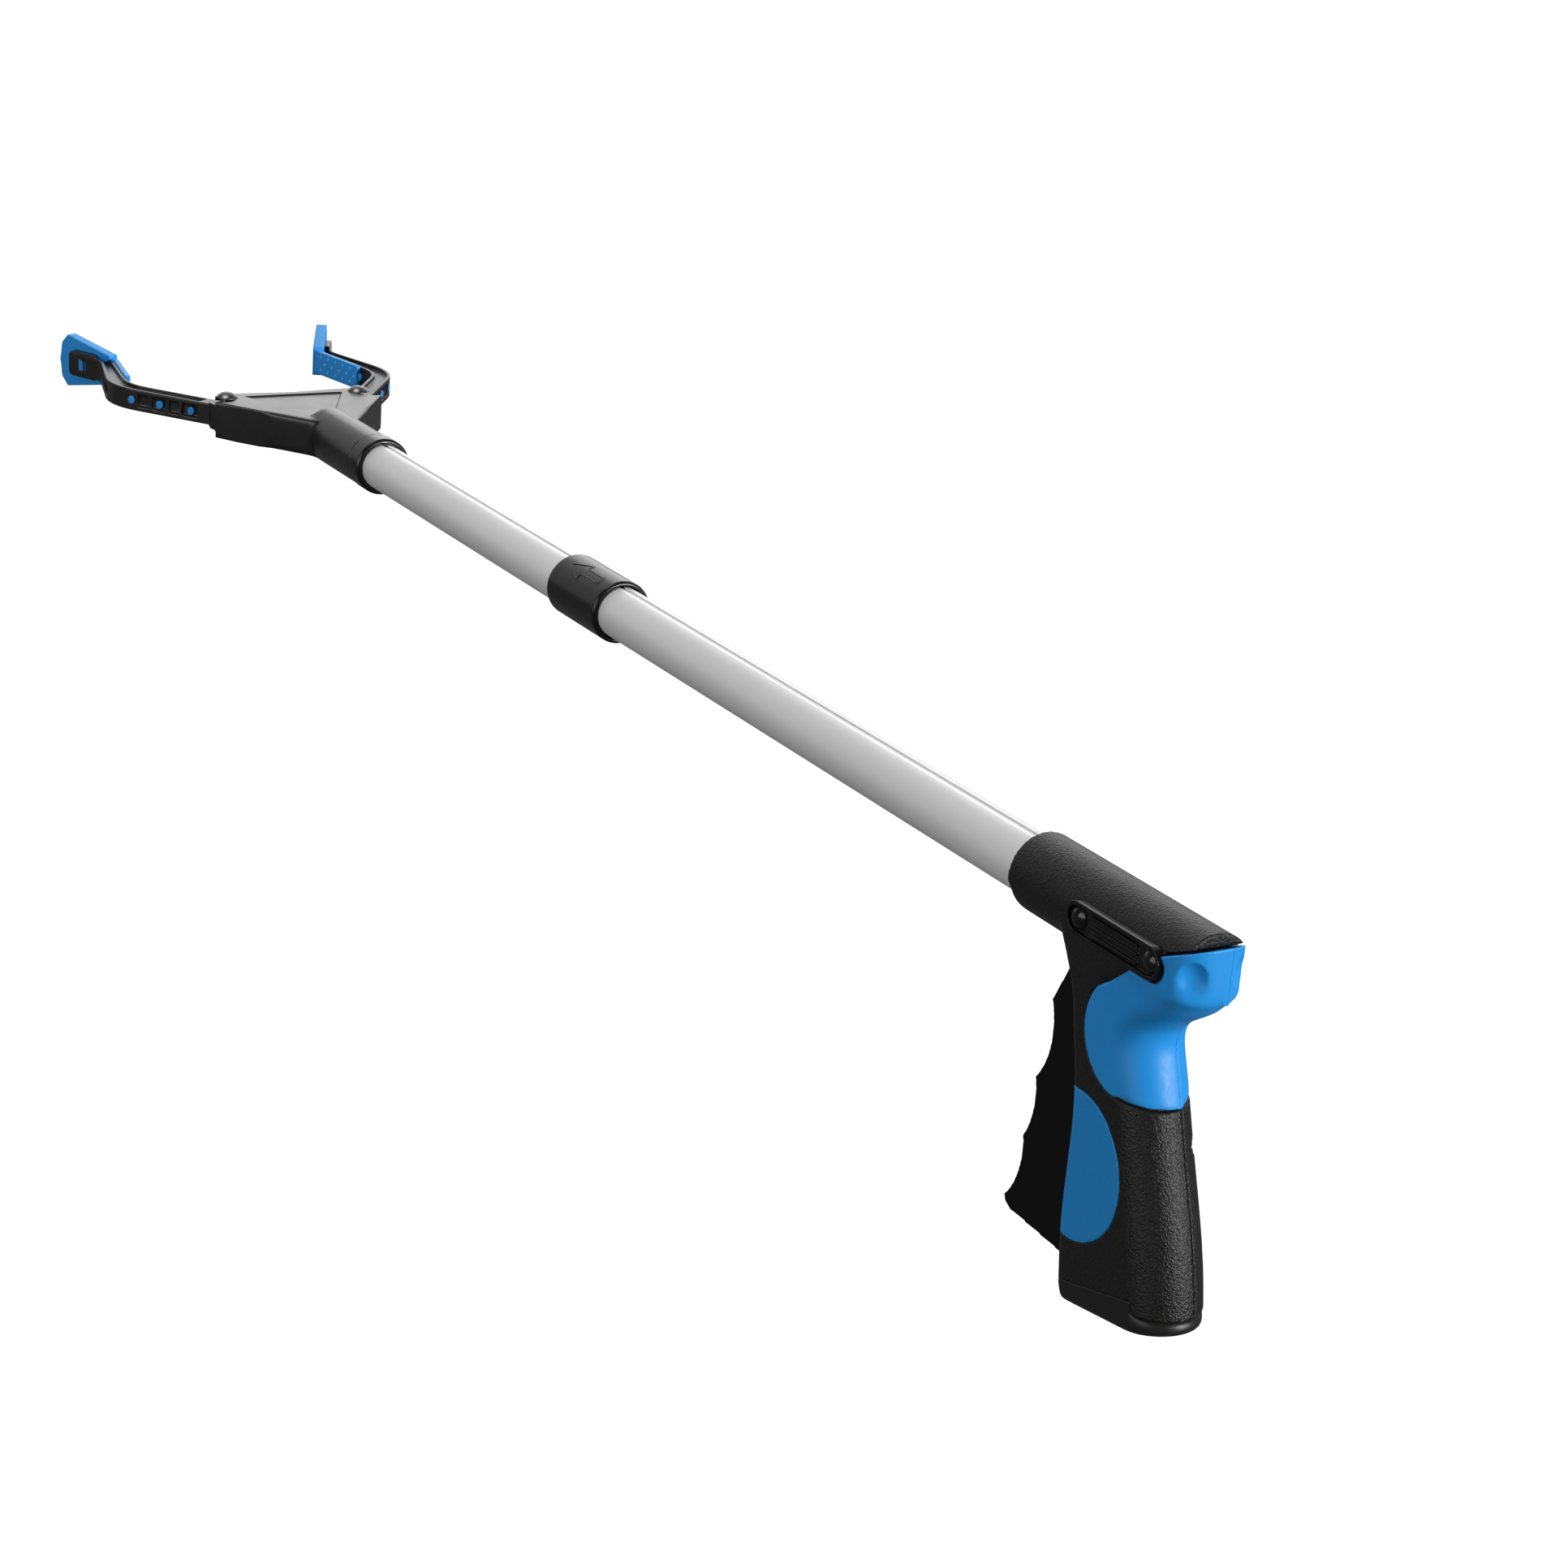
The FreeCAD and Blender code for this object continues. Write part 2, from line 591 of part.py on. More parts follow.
def build_pins():
    seat = d.plate_face - d.channel_depth
    pin = fuse("pivot_pin_left",
               rod("pivot_shank", d.pivot_pin_radius, d.pin_inner, seat + 0.2, axis="Y",
                   x=d.pivot_x, z=d.pivot_z),
               dome("pivot_dome", d.dome_radius, d.dome_height, seat, x=d.pivot_x, z=d.pivot_z))
    pair = doc.addObject("Part::Compound", "pivot_pin_pair")
    pair.Links = [pin, mirror("pivot_pin_right", pin)]
    node(pair, "trigger_pivot_pins")
    bolt_dome = dome("bolt_dome", d.dome_radius, d.dome_height, seat, x=d.bolt_x, z=d.pivot_z)
    bolt = fuse("bolt", rod("bolt_shank", d.pivot_pin_radius, -seat - 0.2, seat + 0.2,
                            axis="Y", x=d.bolt_x, z=d.pivot_z),
                bolt_dome, mirror("bolt_dome_right", bolt_dome))
    node(bolt, "rear_cross_bolt")
    screws = []
    for index, (x, z, head) in enumerate(SCREWS):
        under = size(1.5 - head)
        top = under - d.screw_head_height
        screw = fuse(f"screw_{index}",
                     rod(f"screw_shank_{index}", d.screw_radius, under - 0.5, d.screw_tip,
                         axis="Y", x=x, z=z),
                     rod(f"screw_head_{index}", d.screw_head_radius, top, under, axis="Y",
                         x=x, z=z))
        long, thin, depth = 2, d.screw_slot / 2, (top - 1, top + 0.9)
        slots = [box(f"screw_slot_{index}", (x - long, x + long), depth, (z - thin, z + thin)),
                 box(f"screw_cross_{index}", (x - thin, x + thin), depth, (z - long, z + long))]
        screws.append(cut(f"screw_piece_{index}", screw, *slots))
    group = doc.addObject("Part::Compound", "screw_group")
    group.Links = screws
    node(group, "handle_screws")


# ---------------------------------------------------------------- trigger and linkage

def crank_pin():
    """Where the trigger's crank pin stands at rest: below the pivot and a little ahead."""
    x = d.pivot_x + d.crank_arm * sine(d.crank_lead)
    z = d.pivot_z - d.crank_arm * cosine(d.crank_lead)
    return x, z


def build_trigger():
    blade = slab("trigger_blade", "XZ_Plane", [
        (-33, 0), (-31.8, -13.8), (-26.2, -19.5), (-19.6, -32, d.scallop_radius, -1),
        (-15.4, -58.5, d.scallop_radius, -1), (-12.2, -79, d.scallop_radius, -1),
        (-5.8, -101.4), (-6.6, -103.4), (-9.6, -104.8), (-40, -106.3), (-48, -32), (-43, 0)], d.trigger_half)
    head = rod("trigger_head", d.head_radius, -d.trigger_half, d.trigger_half, axis="Y",
               x=d.pivot_x, z=d.pivot_z)
    crank_x, crank_z = crank_pin()
    tools = [
        box("trigger_fork", (-60, 0), (-d.fork_half, d.fork_half), (d.fork_bottom, 20)),
        rod("trigger_bore", d.pivot_pin_radius + d.slip, -20, 20, axis="Y",
            x=d.pivot_x, z=d.pivot_z),
        rod("crank_hole", d.link_pin_radius + 0.02, -20, 20, axis="Y",
            x=crank_x, z=crank_z),
    ]
    node(cut("trigger_piece", fuse("trigger_blank", blade, head), *tools), "trigger")
    node(rod("crank_pin_rod", d.link_pin_radius, -5.6, 5.6, axis="Y",
             x=crank_x, z=crank_z), "crank_pin")


def build_linkage():
    crank_x, crank_z = crank_pin()
    half_width = d.link_width / 2
    ends = [rod(f"link_end_{tag}", radius, -d.link_half, d.link_half, axis="Y", x=x, z=z)
            for tag, radius, x, z in (("crank", half_width + 0.7, crank_x, crank_z),
                                      ("shuttle", half_width, d.shuttle_pin_x, 0))]
    run_x, run_z = d.shuttle_pin_x - crank_x, -crank_z
    reach = math.hypot(run_x.value, run_z.value)
    side_x, side_z = half_width * (-run_z.value / reach), half_width * (run_x.value / reach)
    bar = slab("link_bar", "XZ_Plane", [
        (crank_x + side_x, crank_z + side_z), (d.shuttle_pin_x + side_x, side_z),
        (d.shuttle_pin_x - side_x, -side_z), (crank_x - side_x, crank_z - side_z)], d.link_half)
    holes = [
        rod("link_open_hole", d.link_pin_radius + d.open_pivot_gap, -9, 9, axis="Y",
            x=crank_x, z=crank_z),
        rod("link_shuttle_hole", d.link_pin_radius + d.slip, -9, 9, axis="Y",
            x=d.shuttle_pin_x),
    ]
    node(cut("link_piece", fuse("link_blank", bar, *ends), *holes), "pull_link")

    link_room = (-d.link_half - 0.3, d.link_half + 0.3)
    block = rod("shuttle_block", d.barrel_bore - d.slip, d.shuttle_back, d.shuttle_front)
    tools = [
        box("shuttle_slot", (d.shuttle_back - 1, d.shuttle_front - d.shuttle_wall), link_room,
            (-12, 4.2)),
        box("shuttle_low_slot", (d.shuttle_back - 1, d.shuttle_front + 1), link_room,
            (-12, -1.2)),
        rod("shuttle_cord_hole", d.cord_radius, d.shuttle_back, d.shuttle_front + 1),
        rod("shuttle_pin_hole", d.link_pin_radius + 0.02, -12, 12, axis="Y",
            x=d.shuttle_pin_x),
    ]
    node(cut("shuttle_piece", block, *tools), "shuttle")
    node(rod("shuttle_pin_rod", d.link_pin_radius, -8.5, 8.5, axis="Y",
             x=d.shuttle_pin_x), "shuttle_pin")


# ---------------------------------------------------------------- shaft, fold and cord

def key_groove(name, start, end):
    return box(name, (start, end), (-d.key_width / 2, d.key_width / 2),
               (d.tube_radius - d.key_depth, d.tube_radius + 2))


def shaft_tube(name, start, end, label):
    tube = pipe(name + "_pipe", d.tube_radius, d.tube_radius - d.tube_wall, start, end)
    return node(cut(name, tube, key_groove(name + "_groove", start - 1, end + 1)), label)


def knuckle(tag, fold_x, mouth, way, label):
    """A plug pressed in a tube's mouth, with a fork that holds the fold link."""
    inner = d.tube_radius - d.tube_wall - 0.02
    deep = mouth - d.knuckle_depth * way
    plug_span = (deep, mouth) if way > 0 else (mouth, deep)
    fork_span = (mouth, fold_x) if way > 0 else (fold_x, mouth)
    plug = rod(f"{tag}_plug", inner, *plug_span)
    reach = d.knuckle_reach
    fork = box(f"{tag}_fork", fork_span, (-d.cheek_outer, d.cheek_outer), (-reach, reach))
    nose = rod(f"{tag}_nose", reach, -d.cheek_outer, d.cheek_outer, axis="Y", x=fold_x)
    gap_span = (mouth - 0.6, fold_x + reach + 1) if way > 0 else (
        fold_x - reach - 1, mouth + 0.6)
    tools = [
        box(f"{tag}_gap", gap_span, (-d.cheek_inner, d.cheek_inner), (-9, 9)),
        rod(f"{tag}_cord_bore", d.cord_bore, d.rear_fold_x - 60, d.front_fold_x + 60),
        rod(f"{tag}_pin_hole", d.fold_pin_radius, -9, 9, axis="Y", x=fold_x),
    ]
    node(cut(f"{tag}_piece", fuse(f"{tag}_blank", plug, fork, nose), *tools), label)


def fold_pins(tag, fold_x, label):
    """Two stub pins, so that the cord can pass between them."""
    pin = rod(f"{tag}_pin", d.fold_pin_radius, d.link_cheek_inner, d.cheek_outer,
              axis="Y", x=fold_x)
    pair = doc.addObject("Part::Compound", f"{tag}_pins")
    pair.Links = [pin, mirror(f"{tag}_pin_mirror", pin)]
    node(pair, label)


def build_fold():
    knuckle("rear_knuckle", d.rear_fold_x, d.rear_tube_front, 1, "rear_knuckle")
    knuckle("front_knuckle", d.front_fold_x, d.front_tube_back, -1, "front_knuckle")
    fold_pins("rear_fold", d.rear_fold_x, "rear_fold_pins")
    fold_pins("front_fold", d.front_fold_x, "front_fold_pins")

    reach = d.knuckle_reach - 0.4
    noses = [rod(f"fold_link_{tag}", reach, -d.link_cheek_outer, d.link_cheek_outer,
                 axis="Y", x=x)
             for tag, x in (("rear", d.rear_fold_x), ("front", d.front_fold_x))]
    middle = box("fold_link_middle", (d.rear_fold_x, d.front_fold_x),
                 (-d.link_cheek_outer, d.link_cheek_outer), (-reach, reach))
    web_span = (d.rear_fold_x + d.web_margin, d.front_fold_x - d.web_margin)
    inner = (-d.link_cheek_inner, d.link_cheek_inner)
    tools = [
        box("fold_link_gap_rear", (d.rear_fold_x - 9, web_span[0]), inner, (-9, 9)),
        box("fold_link_gap_front", (web_span[1], d.front_fold_x + 9), inner, (-9, 9)),
        box("fold_link_gap_middle", (web_span[0] - 1, web_span[1] + 1), inner,
            (-d.web_inner, d.web_inner)),
    ]
    tools += [rod(f"fold_link_hole_{tag}", d.fold_pin_radius + d.slip, -9, 9, axis="Y", x=x)
              for tag, x in (("rear", d.rear_fold_x), ("front", d.front_fold_x))]
    node(cut("fold_link_piece", fuse("fold_link_blank", middle, *noses), *tools), "fold_link")


def build_sleeve():
    """The locking sleeve: a close bore on the front tube, a wider one over the rear tube."""
    lap = d.sleeve_back + d.sleeve_lap
    edge = 0.8
    body = turned("sleeve_body", [
        (d.sleeve_back, d.tube_radius + d.sleeve_clear), (d.sleeve_back, d.sleeve_radius - edge),
        (d.sleeve_back + edge, d.sleeve_radius), (d.sleeve_front - edge, d.sleeve_radius),
        (d.sleeve_front, d.sleeve_radius - edge), (d.sleeve_front, d.tube_radius + d.slip),
        (lap + 12, d.tube_radius + d.slip), (lap + 12, d.tube_radius + d.sleeve_clear)])
    key = box("sleeve_key", (lap + 13, d.sleeve_front - 1), (-0.9, 0.9),
              (d.tube_radius - d.key_depth + 0.08, d.tube_radius + 0.5))
    node(fuse("sleeve_piece", body, key), "fold_sleeve")


def build_shaft():
    shaft_tube("rear_tube_body", d.rear_tube_back, d.rear_tube_front, "rear_tube")
    shaft_tube("front_tube_body", d.front_tube_back, d.front_tube_front, "front_tube")
    bore = d.tube_radius - d.tube_wall - 0.02
    guide = turned("guide_body", [
        (d.rear_tube_back - 0.9, d.cord_bore), (d.rear_tube_back - 0.9, d.tube_radius - 0.2),
        (d.rear_tube_back, d.tube_radius - 0.2), (d.rear_tube_back, bore),
        (d.rear_tube_back + 12, bore), (d.rear_tube_back + 12, d.cord_bore)])
    node(guide, "cord_guide")


def build_cord():
    node(rod("cord_rear_rod", d.cord_radius, d.shuttle_front - d.shuttle_wall, d.cord_rear_front),
         "pull_cord_rear")
    node(rod("cord_link_rod", d.cord_radius, d.rear_fold_x + d.cord_link_margin,
             d.front_fold_x - d.cord_link_margin), "pull_cord_middle")
    node(rod("cord_front_rod", d.cord_radius, d.cord_front_back, d.disc_front + 3),
         "pull_cord_front")
    crimp = pipe("crimp_rear", d.ferrule_radius, d.cord_radius,
                 d.shuttle_front, d.shuttle_front + d.ferrule_length)
    node(crimp, "cord_ferrule_rear")


# ---------------------------------------------------------------- head

def build_swivel():
    ring = turned("ring_body", [
        (d.ring_back, d.tube_radius + 0.02), (d.ring_back, d.ring_radius - 0.9),
        (d.ring_back + 0.9, d.ring_radius), (d.ring_front - 0.5, d.ring_radius),
        (d.ring_front, d.ring_radius - 0.5), (d.ring_front, d.plug_radius + 0.02),
        (d.ring_seat, d.plug_radius + 0.02), (d.ring_seat, d.tube_radius + 0.02)])
    key = box("ring_key", (d.ring_back - 1.2, d.front_tube_front), (-0.9, 0.9),
              (d.tube_radius - d.key_depth + 0.05, d.tube_radius + 0.6))
    node(fuse("ring_piece", ring, key), "head_lock_ring")
    bore = d.tube_radius - d.tube_wall - 0.02
    plug = turned("plug_body", [
        (d.plug_back, d.cord_bore), (d.plug_back, bore), (d.front_tube_front, bore),
        (d.front_tube_front, d.plug_radius), (d.clip_x, d.plug_radius),
        (d.clip_x, d.clip_groove), (d.clip_x + d.clip_width, d.clip_groove),
        (d.clip_x + d.clip_width, d.plug_radius), (d.plug_front, d.plug_radius),
        (d.plug_front, d.cord_bore)])
    node(plug, "swivel_plug")
    clip = cut("clip_ring", pipe("clip_pipe", d.clip_radius, d.clip_groove, d.clip_x,
                                 d.clip_x + d.clip_width),
               box("clip_mouth", (d.clip_x - 1, d.clip_x + 3), (-5, 5), (-12, -2)))
    node(clip, "swivel_clip")


def housing_outline(inset, front):
    """The Y-shaped plan of the jaw housing, half by half; inset moves the side walls in."""
    along_x, along_y = cosine(d.wing_angle), sine(d.wing_angle)
    offset = d.wing_offset - inset
    base_x = d.rivet_x - offset * along_y
    base_y = d.rivet_y + offset * along_x
    reach = d.wing_end - d.wing_round
    end_x = base_x + reach * along_x
    end_y = base_y + reach * along_y
    turn = d.wing_round - inset
    nose_x = end_x + turn * (along_x + along_y)
    nose_y = end_y + turn * (along_y - along_x)
    half = d.wing_root - inset
    run = (base_y - half) / along_y
    root_x = base_x - run * along_x
    left = [(root_x, half), (end_x, end_y, turn, 1), (nose_x, nose_y)]
    right = [(nose_x, -nose_y, turn, 1), (end_x, -end_y), (root_x, -half)]
    return left + [(front, d.front_edge_y), (front - 2.5, 0), (front, -d.front_edge_y)] + right


def build_housing():
    root = d.neck_front - 20
    shell = slab("housing_plan", "XY_Plane",
                 [(root, d.wing_root)] + housing_outline(size(0), d.front_edge_x)
                 + [(root, -d.wing_root)], d.housing_half)
    inner_half = d.housing_half - d.housing_plate
    hollow = slab("housing_hollow", "XY_Plane", housing_outline(d.wing_wall, size(620)),
                  inner_half)
    mouth = slab("housing_mouth", "XY_Plane", [
        (d.rivet_x, d.rivet_y + 8.2), (d.rivet_x + 30, d.rivet_y + 28),
        (d.rivet_x + 30, -d.rivet_y - 28), (d.rivet_x, -d.rivet_y - 8.2)], inner_half)
    neck = turned("housing_neck", [
        (d.neck_back, d.plug_radius + d.slip), (d.neck_back, d.neck_radius),
        (d.neck_front, d.neck_radius), (d.neck_front + d.neck_slope, d.housing_half - 0.2),
        (d.neck_front + d.neck_slope, 2), (d.clip_x - 0.2, 2),
        (d.clip_x - 0.2, d.plug_radius + d.slip)])
    chamber = rod("housing_chamber", d.chamber_radius, d.clip_x - 0.2, d.neck_front - 1.2)
    panels = [slab(f"housing_panel_{tag}", "XY_Plane", [
        (d.panel_back_x, d.panel_back_y), (d.panel_front_x, d.panel_front_y),
        (d.panel_front_x, -d.panel_front_y), (d.panel_back_x, -d.panel_back_y)],
        d.panel_recess, z=d.housing_half * way) for tag, way in (("top", 1), ("bottom", -1))]
    rivet_holes = [rod(f"rivet_hole_{tag}", d.rivet_radius + 0.02, -20, 20, axis="Z",
                       x=d.rivet_x, y=way)
                   for tag, way in (("l", d.rivet_y), ("r", -d.rivet_y))]
    piece = cut("housing_piece", fuse("housing_blank", shell, neck), hollow, mouth, chamber,
                *panels, *rivet_holes)
    node(piece, "jaw_housing")


def build_rivets():
    rivets = []
    for tag, y in (("left", d.rivet_y), ("right", -d.rivet_y)):
        parts = [rod(f"rivet_shank_{tag}", d.rivet_radius, -d.housing_half - 0.2,
                     d.housing_half + 0.2, axis="Z", x=d.rivet_x, y=y)]
        for way, name in ((1, "top"), (-1, "bottom")):
            parts.append(dome(f"rivet_{name}_{tag}", d.rivet_dome, d.rivet_rise,
                              d.housing_half * way, axis="Z", x=d.rivet_x, y=y,
                              flip=way < 0))
        rivets.append(fuse(f"rivet_{tag}", *parts))
    group = doc.addObject("Part::Compound", "rivet_pair")
    group.Links = rivets
    node(group, "jaw_rivets")


def yoke_pin_spot():
    """Where the left jaw's inner pin stands at rest, from the shaft's axis."""
    x = d.rivet_x + d.inner_arm * sine(d.inner_lead)
    y = d.rivet_y - d.inner_arm * cosine(d.inner_lead)
    return x, y


def build_yoke():
    disc = turned("yoke_disc", [
        (d.disc_back, d.cord_radius), (d.disc_back, d.disc_radius),
        (d.disc_front, d.disc_radius), (d.disc_front, d.cord_radius)])
    half = d.yoke_half
    tee = slab("yoke_tee", "XY_Plane", [
        (d.disc_front - 1, d.stem_half), (d.bar_back - 6, d.stem_half), (d.bar_back, 9),
        (d.bar_back, d.bar_half), (d.bar_front, d.bar_half), (d.bar_front, -d.bar_half),
        (d.bar_back, -d.bar_half), (d.bar_back, -9), (d.bar_back - 6, -d.stem_half),
        (d.disc_front - 1, -d.stem_half)], half)
    pin_x, pin_y = yoke_pin_spot()
    gap = d.jaw_pin_radius + 0.12
    slots = [box(f"yoke_slot_{tag}", (pin_x - gap, pin_x + gap), span, (-5, 5))
             for tag, span in (("l", (d.slot_inner, d.slot_outer)),
                               ("r", (-d.slot_outer, -d.slot_inner)))]
    cord_hole = rod("yoke_cord_hole", d.cord_radius, d.disc_back - 1, d.disc_front + 3)
    node(cut("yoke_piece", fuse("yoke_blank", disc, tee), cord_hole, *slots), "yoke")


def build_spring():
    """The return spring, as a coil between the swivel plug and the yoke's disc."""
    helix = doc.addObject("Part::Helix", "spring_helix")
    start = d.plug_front + d.spring_wire + 0.1
    run = d.disc_back - d.spring_wire - 0.1 - start
    bind(helix, Pitch=run / d.spring_turns, Height=run, Radius=d.spring_radius)
    helix.SegmentLength = 1
    doc.recompute()
    wire = doc.addObject("Part::Circle", "spring_section")
    bind(wire, Radius=d.spring_wire)
    place(wire, d.spring_radius, 0, 0, rotation=Rotation(Vector(1, 0, 0), 90))
    coil = doc.addObject("Part::Sweep", "spring_coil")
    coil.Sections = [wire]
    coil.Spine = (helix, [f"Edge{count + 1}" for count in range(len(helix.Shape.Edges))])
    coil.Solid = True
    coil.Frenet = True
    place(coil, start, 0, 0, rotation=ALONG["X"])
    node(coil, "jaw_return_spring")


def offset_path(points, halves, way):
    """The points of a bent bar's edge: each centre point moved to one side by its half width."""
    moved = []
    for index, (x, y) in enumerate(points):
        normals = []
        for a, b in ((index - 1, index), (index, index + 1)):
            if a < 0 or b >= len(points):
                continue
            run_x = points[b][0].value - points[a][0].value
            run_y = points[b][1].value - points[a][1].value
            reach = math.hypot(run_x, run_y)
            normals.append((-run_y / reach, run_x / reach))
        sum_x = sum(n[0] for n in normals)
        sum_y = sum(n[1] for n in normals)
        scale = 2 / (sum_x ** 2 + sum_y ** 2) if len(normals) == 2 else 1
        moved.append((x + halves[index] * (sum_x * scale * way),
                      y + halves[index] * (sum_y * scale * way)))
    return moved


def jaw_line():
    """The centre line of the left jaw: rivet, elbow, wrist and tip."""
    return [(d.rivet_x + dx, d.rivet_y + dy) for dx, dy in (
        (size(0), size(0)), (d.elbow_dx, d.elbow_dy), (d.pad_dx, d.pad_dy),
        (d.tip_dx, d.tip_dy))]


def rounded_path(line, halves):
    """The jaw's centre line with its elbow and wrist bent round instead of sharp, and the half
    width at each point."""
    path, widths = [line[0]], [halves[0]]
    for index, reach in ((1, d.elbow_reach), (2, d.wrist_reach)):
        here, before, after = line[index], line[index - 1], line[index + 1]
        ways = []
        for other in (before, after):
            run_x, run_y = other[0] - here[0], other[1] - here[1]
            share = reach / math.hypot(run_x.value, run_y.value)
            ways.append((run_x * share, run_y * share))
        for step in range(BEND_STEPS + 1):
            share = step / BEND_STEPS
            near, far = (1 - share) ** 2, share ** 2
            path.append(tuple(here[axis] + ways[0][axis] * near + ways[1][axis] * far
                              for axis in (0, 1)))
            widths.append(halves[index])
    return path + [line[3]], widths + [halves[3]]


def bar_between(line, halves):
    return offset_path(line, halves, 1) + list(reversed(offset_path(line, halves, -1)))


STUDS = ((0.28, 0), (0.57, 0), (0.83, 0), (0.27, 1), (0.44, 1), (0.72, 1))


# A bend is drawn with this many straight steps.
BEND_STEPS = 5

# Pockets between the ribs of the jaw's outer side, as shares of each leg's length.
POCKETS = ((0, 0.22, 0.36), (0, 0.39, 0.48), (0, 0.51, 0.64), (0, 0.67, 0.77),
           (1, 0.2, 0.35), (1, 0.38, 0.52), (1, 0.56, 0.66), (1, 0.69, 0.8))


def on_leg(leg, share):
    """A point of the jaw's centre line, and the leg's direction in degrees."""
    (ax, ay), (bx, by) = jaw_line()[leg:leg + 2]
    angle = math.degrees(math.atan2(by.value - ay.value, bx.value - ax.value))
    return ax + (bx - ax) * share, ay + (by - ay) * share, angle


def stud(name, leg, share, start, length):
    """A rod across the jaw's leg, from start on the leg's centre line outwards."""
    x, y, angle = on_leg(leg, share)
    obj = doc.addObject("Part::Cylinder", name)
    bind(obj, Radius=d.stud_radius, Height=length)
    turn = Rotation(Vector(0, 0, 1), angle).multiply(ALONG["Y"])
    way = turn.multVec(Vector(0, 0, 1))
    return place(obj, x + size(start) * way.x, y + size(start) * way.y, 0, rotation=turn)


def jaw_pocket(index, leg, low, high):
    """A pocket in the jaw's outer side."""
    x, y, angle = on_leg(leg, low)
    far_x, far_y, angle = on_leg(leg, high)
    reach = math.hypot(far_x.value - x.value, far_y.value - y.value)
    depth = d.arm_half - d.pocket_depth if leg == 0 else d.wrist_half - d.pocket_depth + 0.6
    obj = doc.addObject("Part::Box", f"jaw_pocket_{index}")
    bind(obj, Length=reach, Width=8, Height=d.pocket_half * 2)
    turn = Rotation(Vector(0, 0, 1), angle)
    way = turn.multVec(Vector(0, 1, 0))
    return place(obj, x + depth * way.x, y + depth * way.y, -d.pocket_half, rotation=turn)


def jaw_end():
    """The rounded block at the jaw's tip that backs the pad, and the window for its plug."""
    x, y, angle = on_leg(2, 1)
    corner = d.end_corner
    across = d.tip_half * 2
    turn = Rotation(Vector(0, 0, 1), angle)
    run = turn.multVec(Vector(1, 0, 0))
    parts = []
    for tag, high, trim in (("long", d.end_half - corner, size(0)), ("tall", d.end_half, corner)):
        block = doc.addObject("Part::Box", f"jaw_end_{tag}")
        bind(block, Length=d.end_length - trim * 2, Width=across, Height=high * 2)
        parts.append((block, d.end_length - trim, high))
    for way in (1, -1):
        for tag, back in (("front", corner), ("rear", d.end_length - corner)):
            round_corner = doc.addObject("Part::Cylinder", f"jaw_end_{tag}_{way + 1}")
            bind(round_corner, Radius=corner, Height=across)
            parts.append((round_corner, back, (d.end_half - corner) * -way))
    for obj, back, high in parts:
        lies = turn if obj.TypeId == "Part::Box" else turn.multiply(ALONG["Y"])
        start = -d.tip_half
        place(obj, x - back * run.x - start * run.y, y - back * run.y + start * run.x, -high,
              rotation=lies)
    return fuse("jaw_end_block", *[obj for obj, back, high in parts])


def jaw_end_plug(name, half, length):
    """A square bar through the end block."""
    x, y, angle = on_leg(2, 1)
    turn = Rotation(Vector(0, 0, 1), angle)
    run = turn.multVec(Vector(1, 0, 0))
    back = d.end_length / 2 + half
    start = d.tip_half + 0.4 - length
    obj = doc.addObject("Part::Box", name)
    bind(obj, Length=half * 2, Width=length, Height=half * 2)
    return place(obj, x - back * run.x - start * run.y, y - back * run.y + start * run.x,
                 -half, rotation=turn)


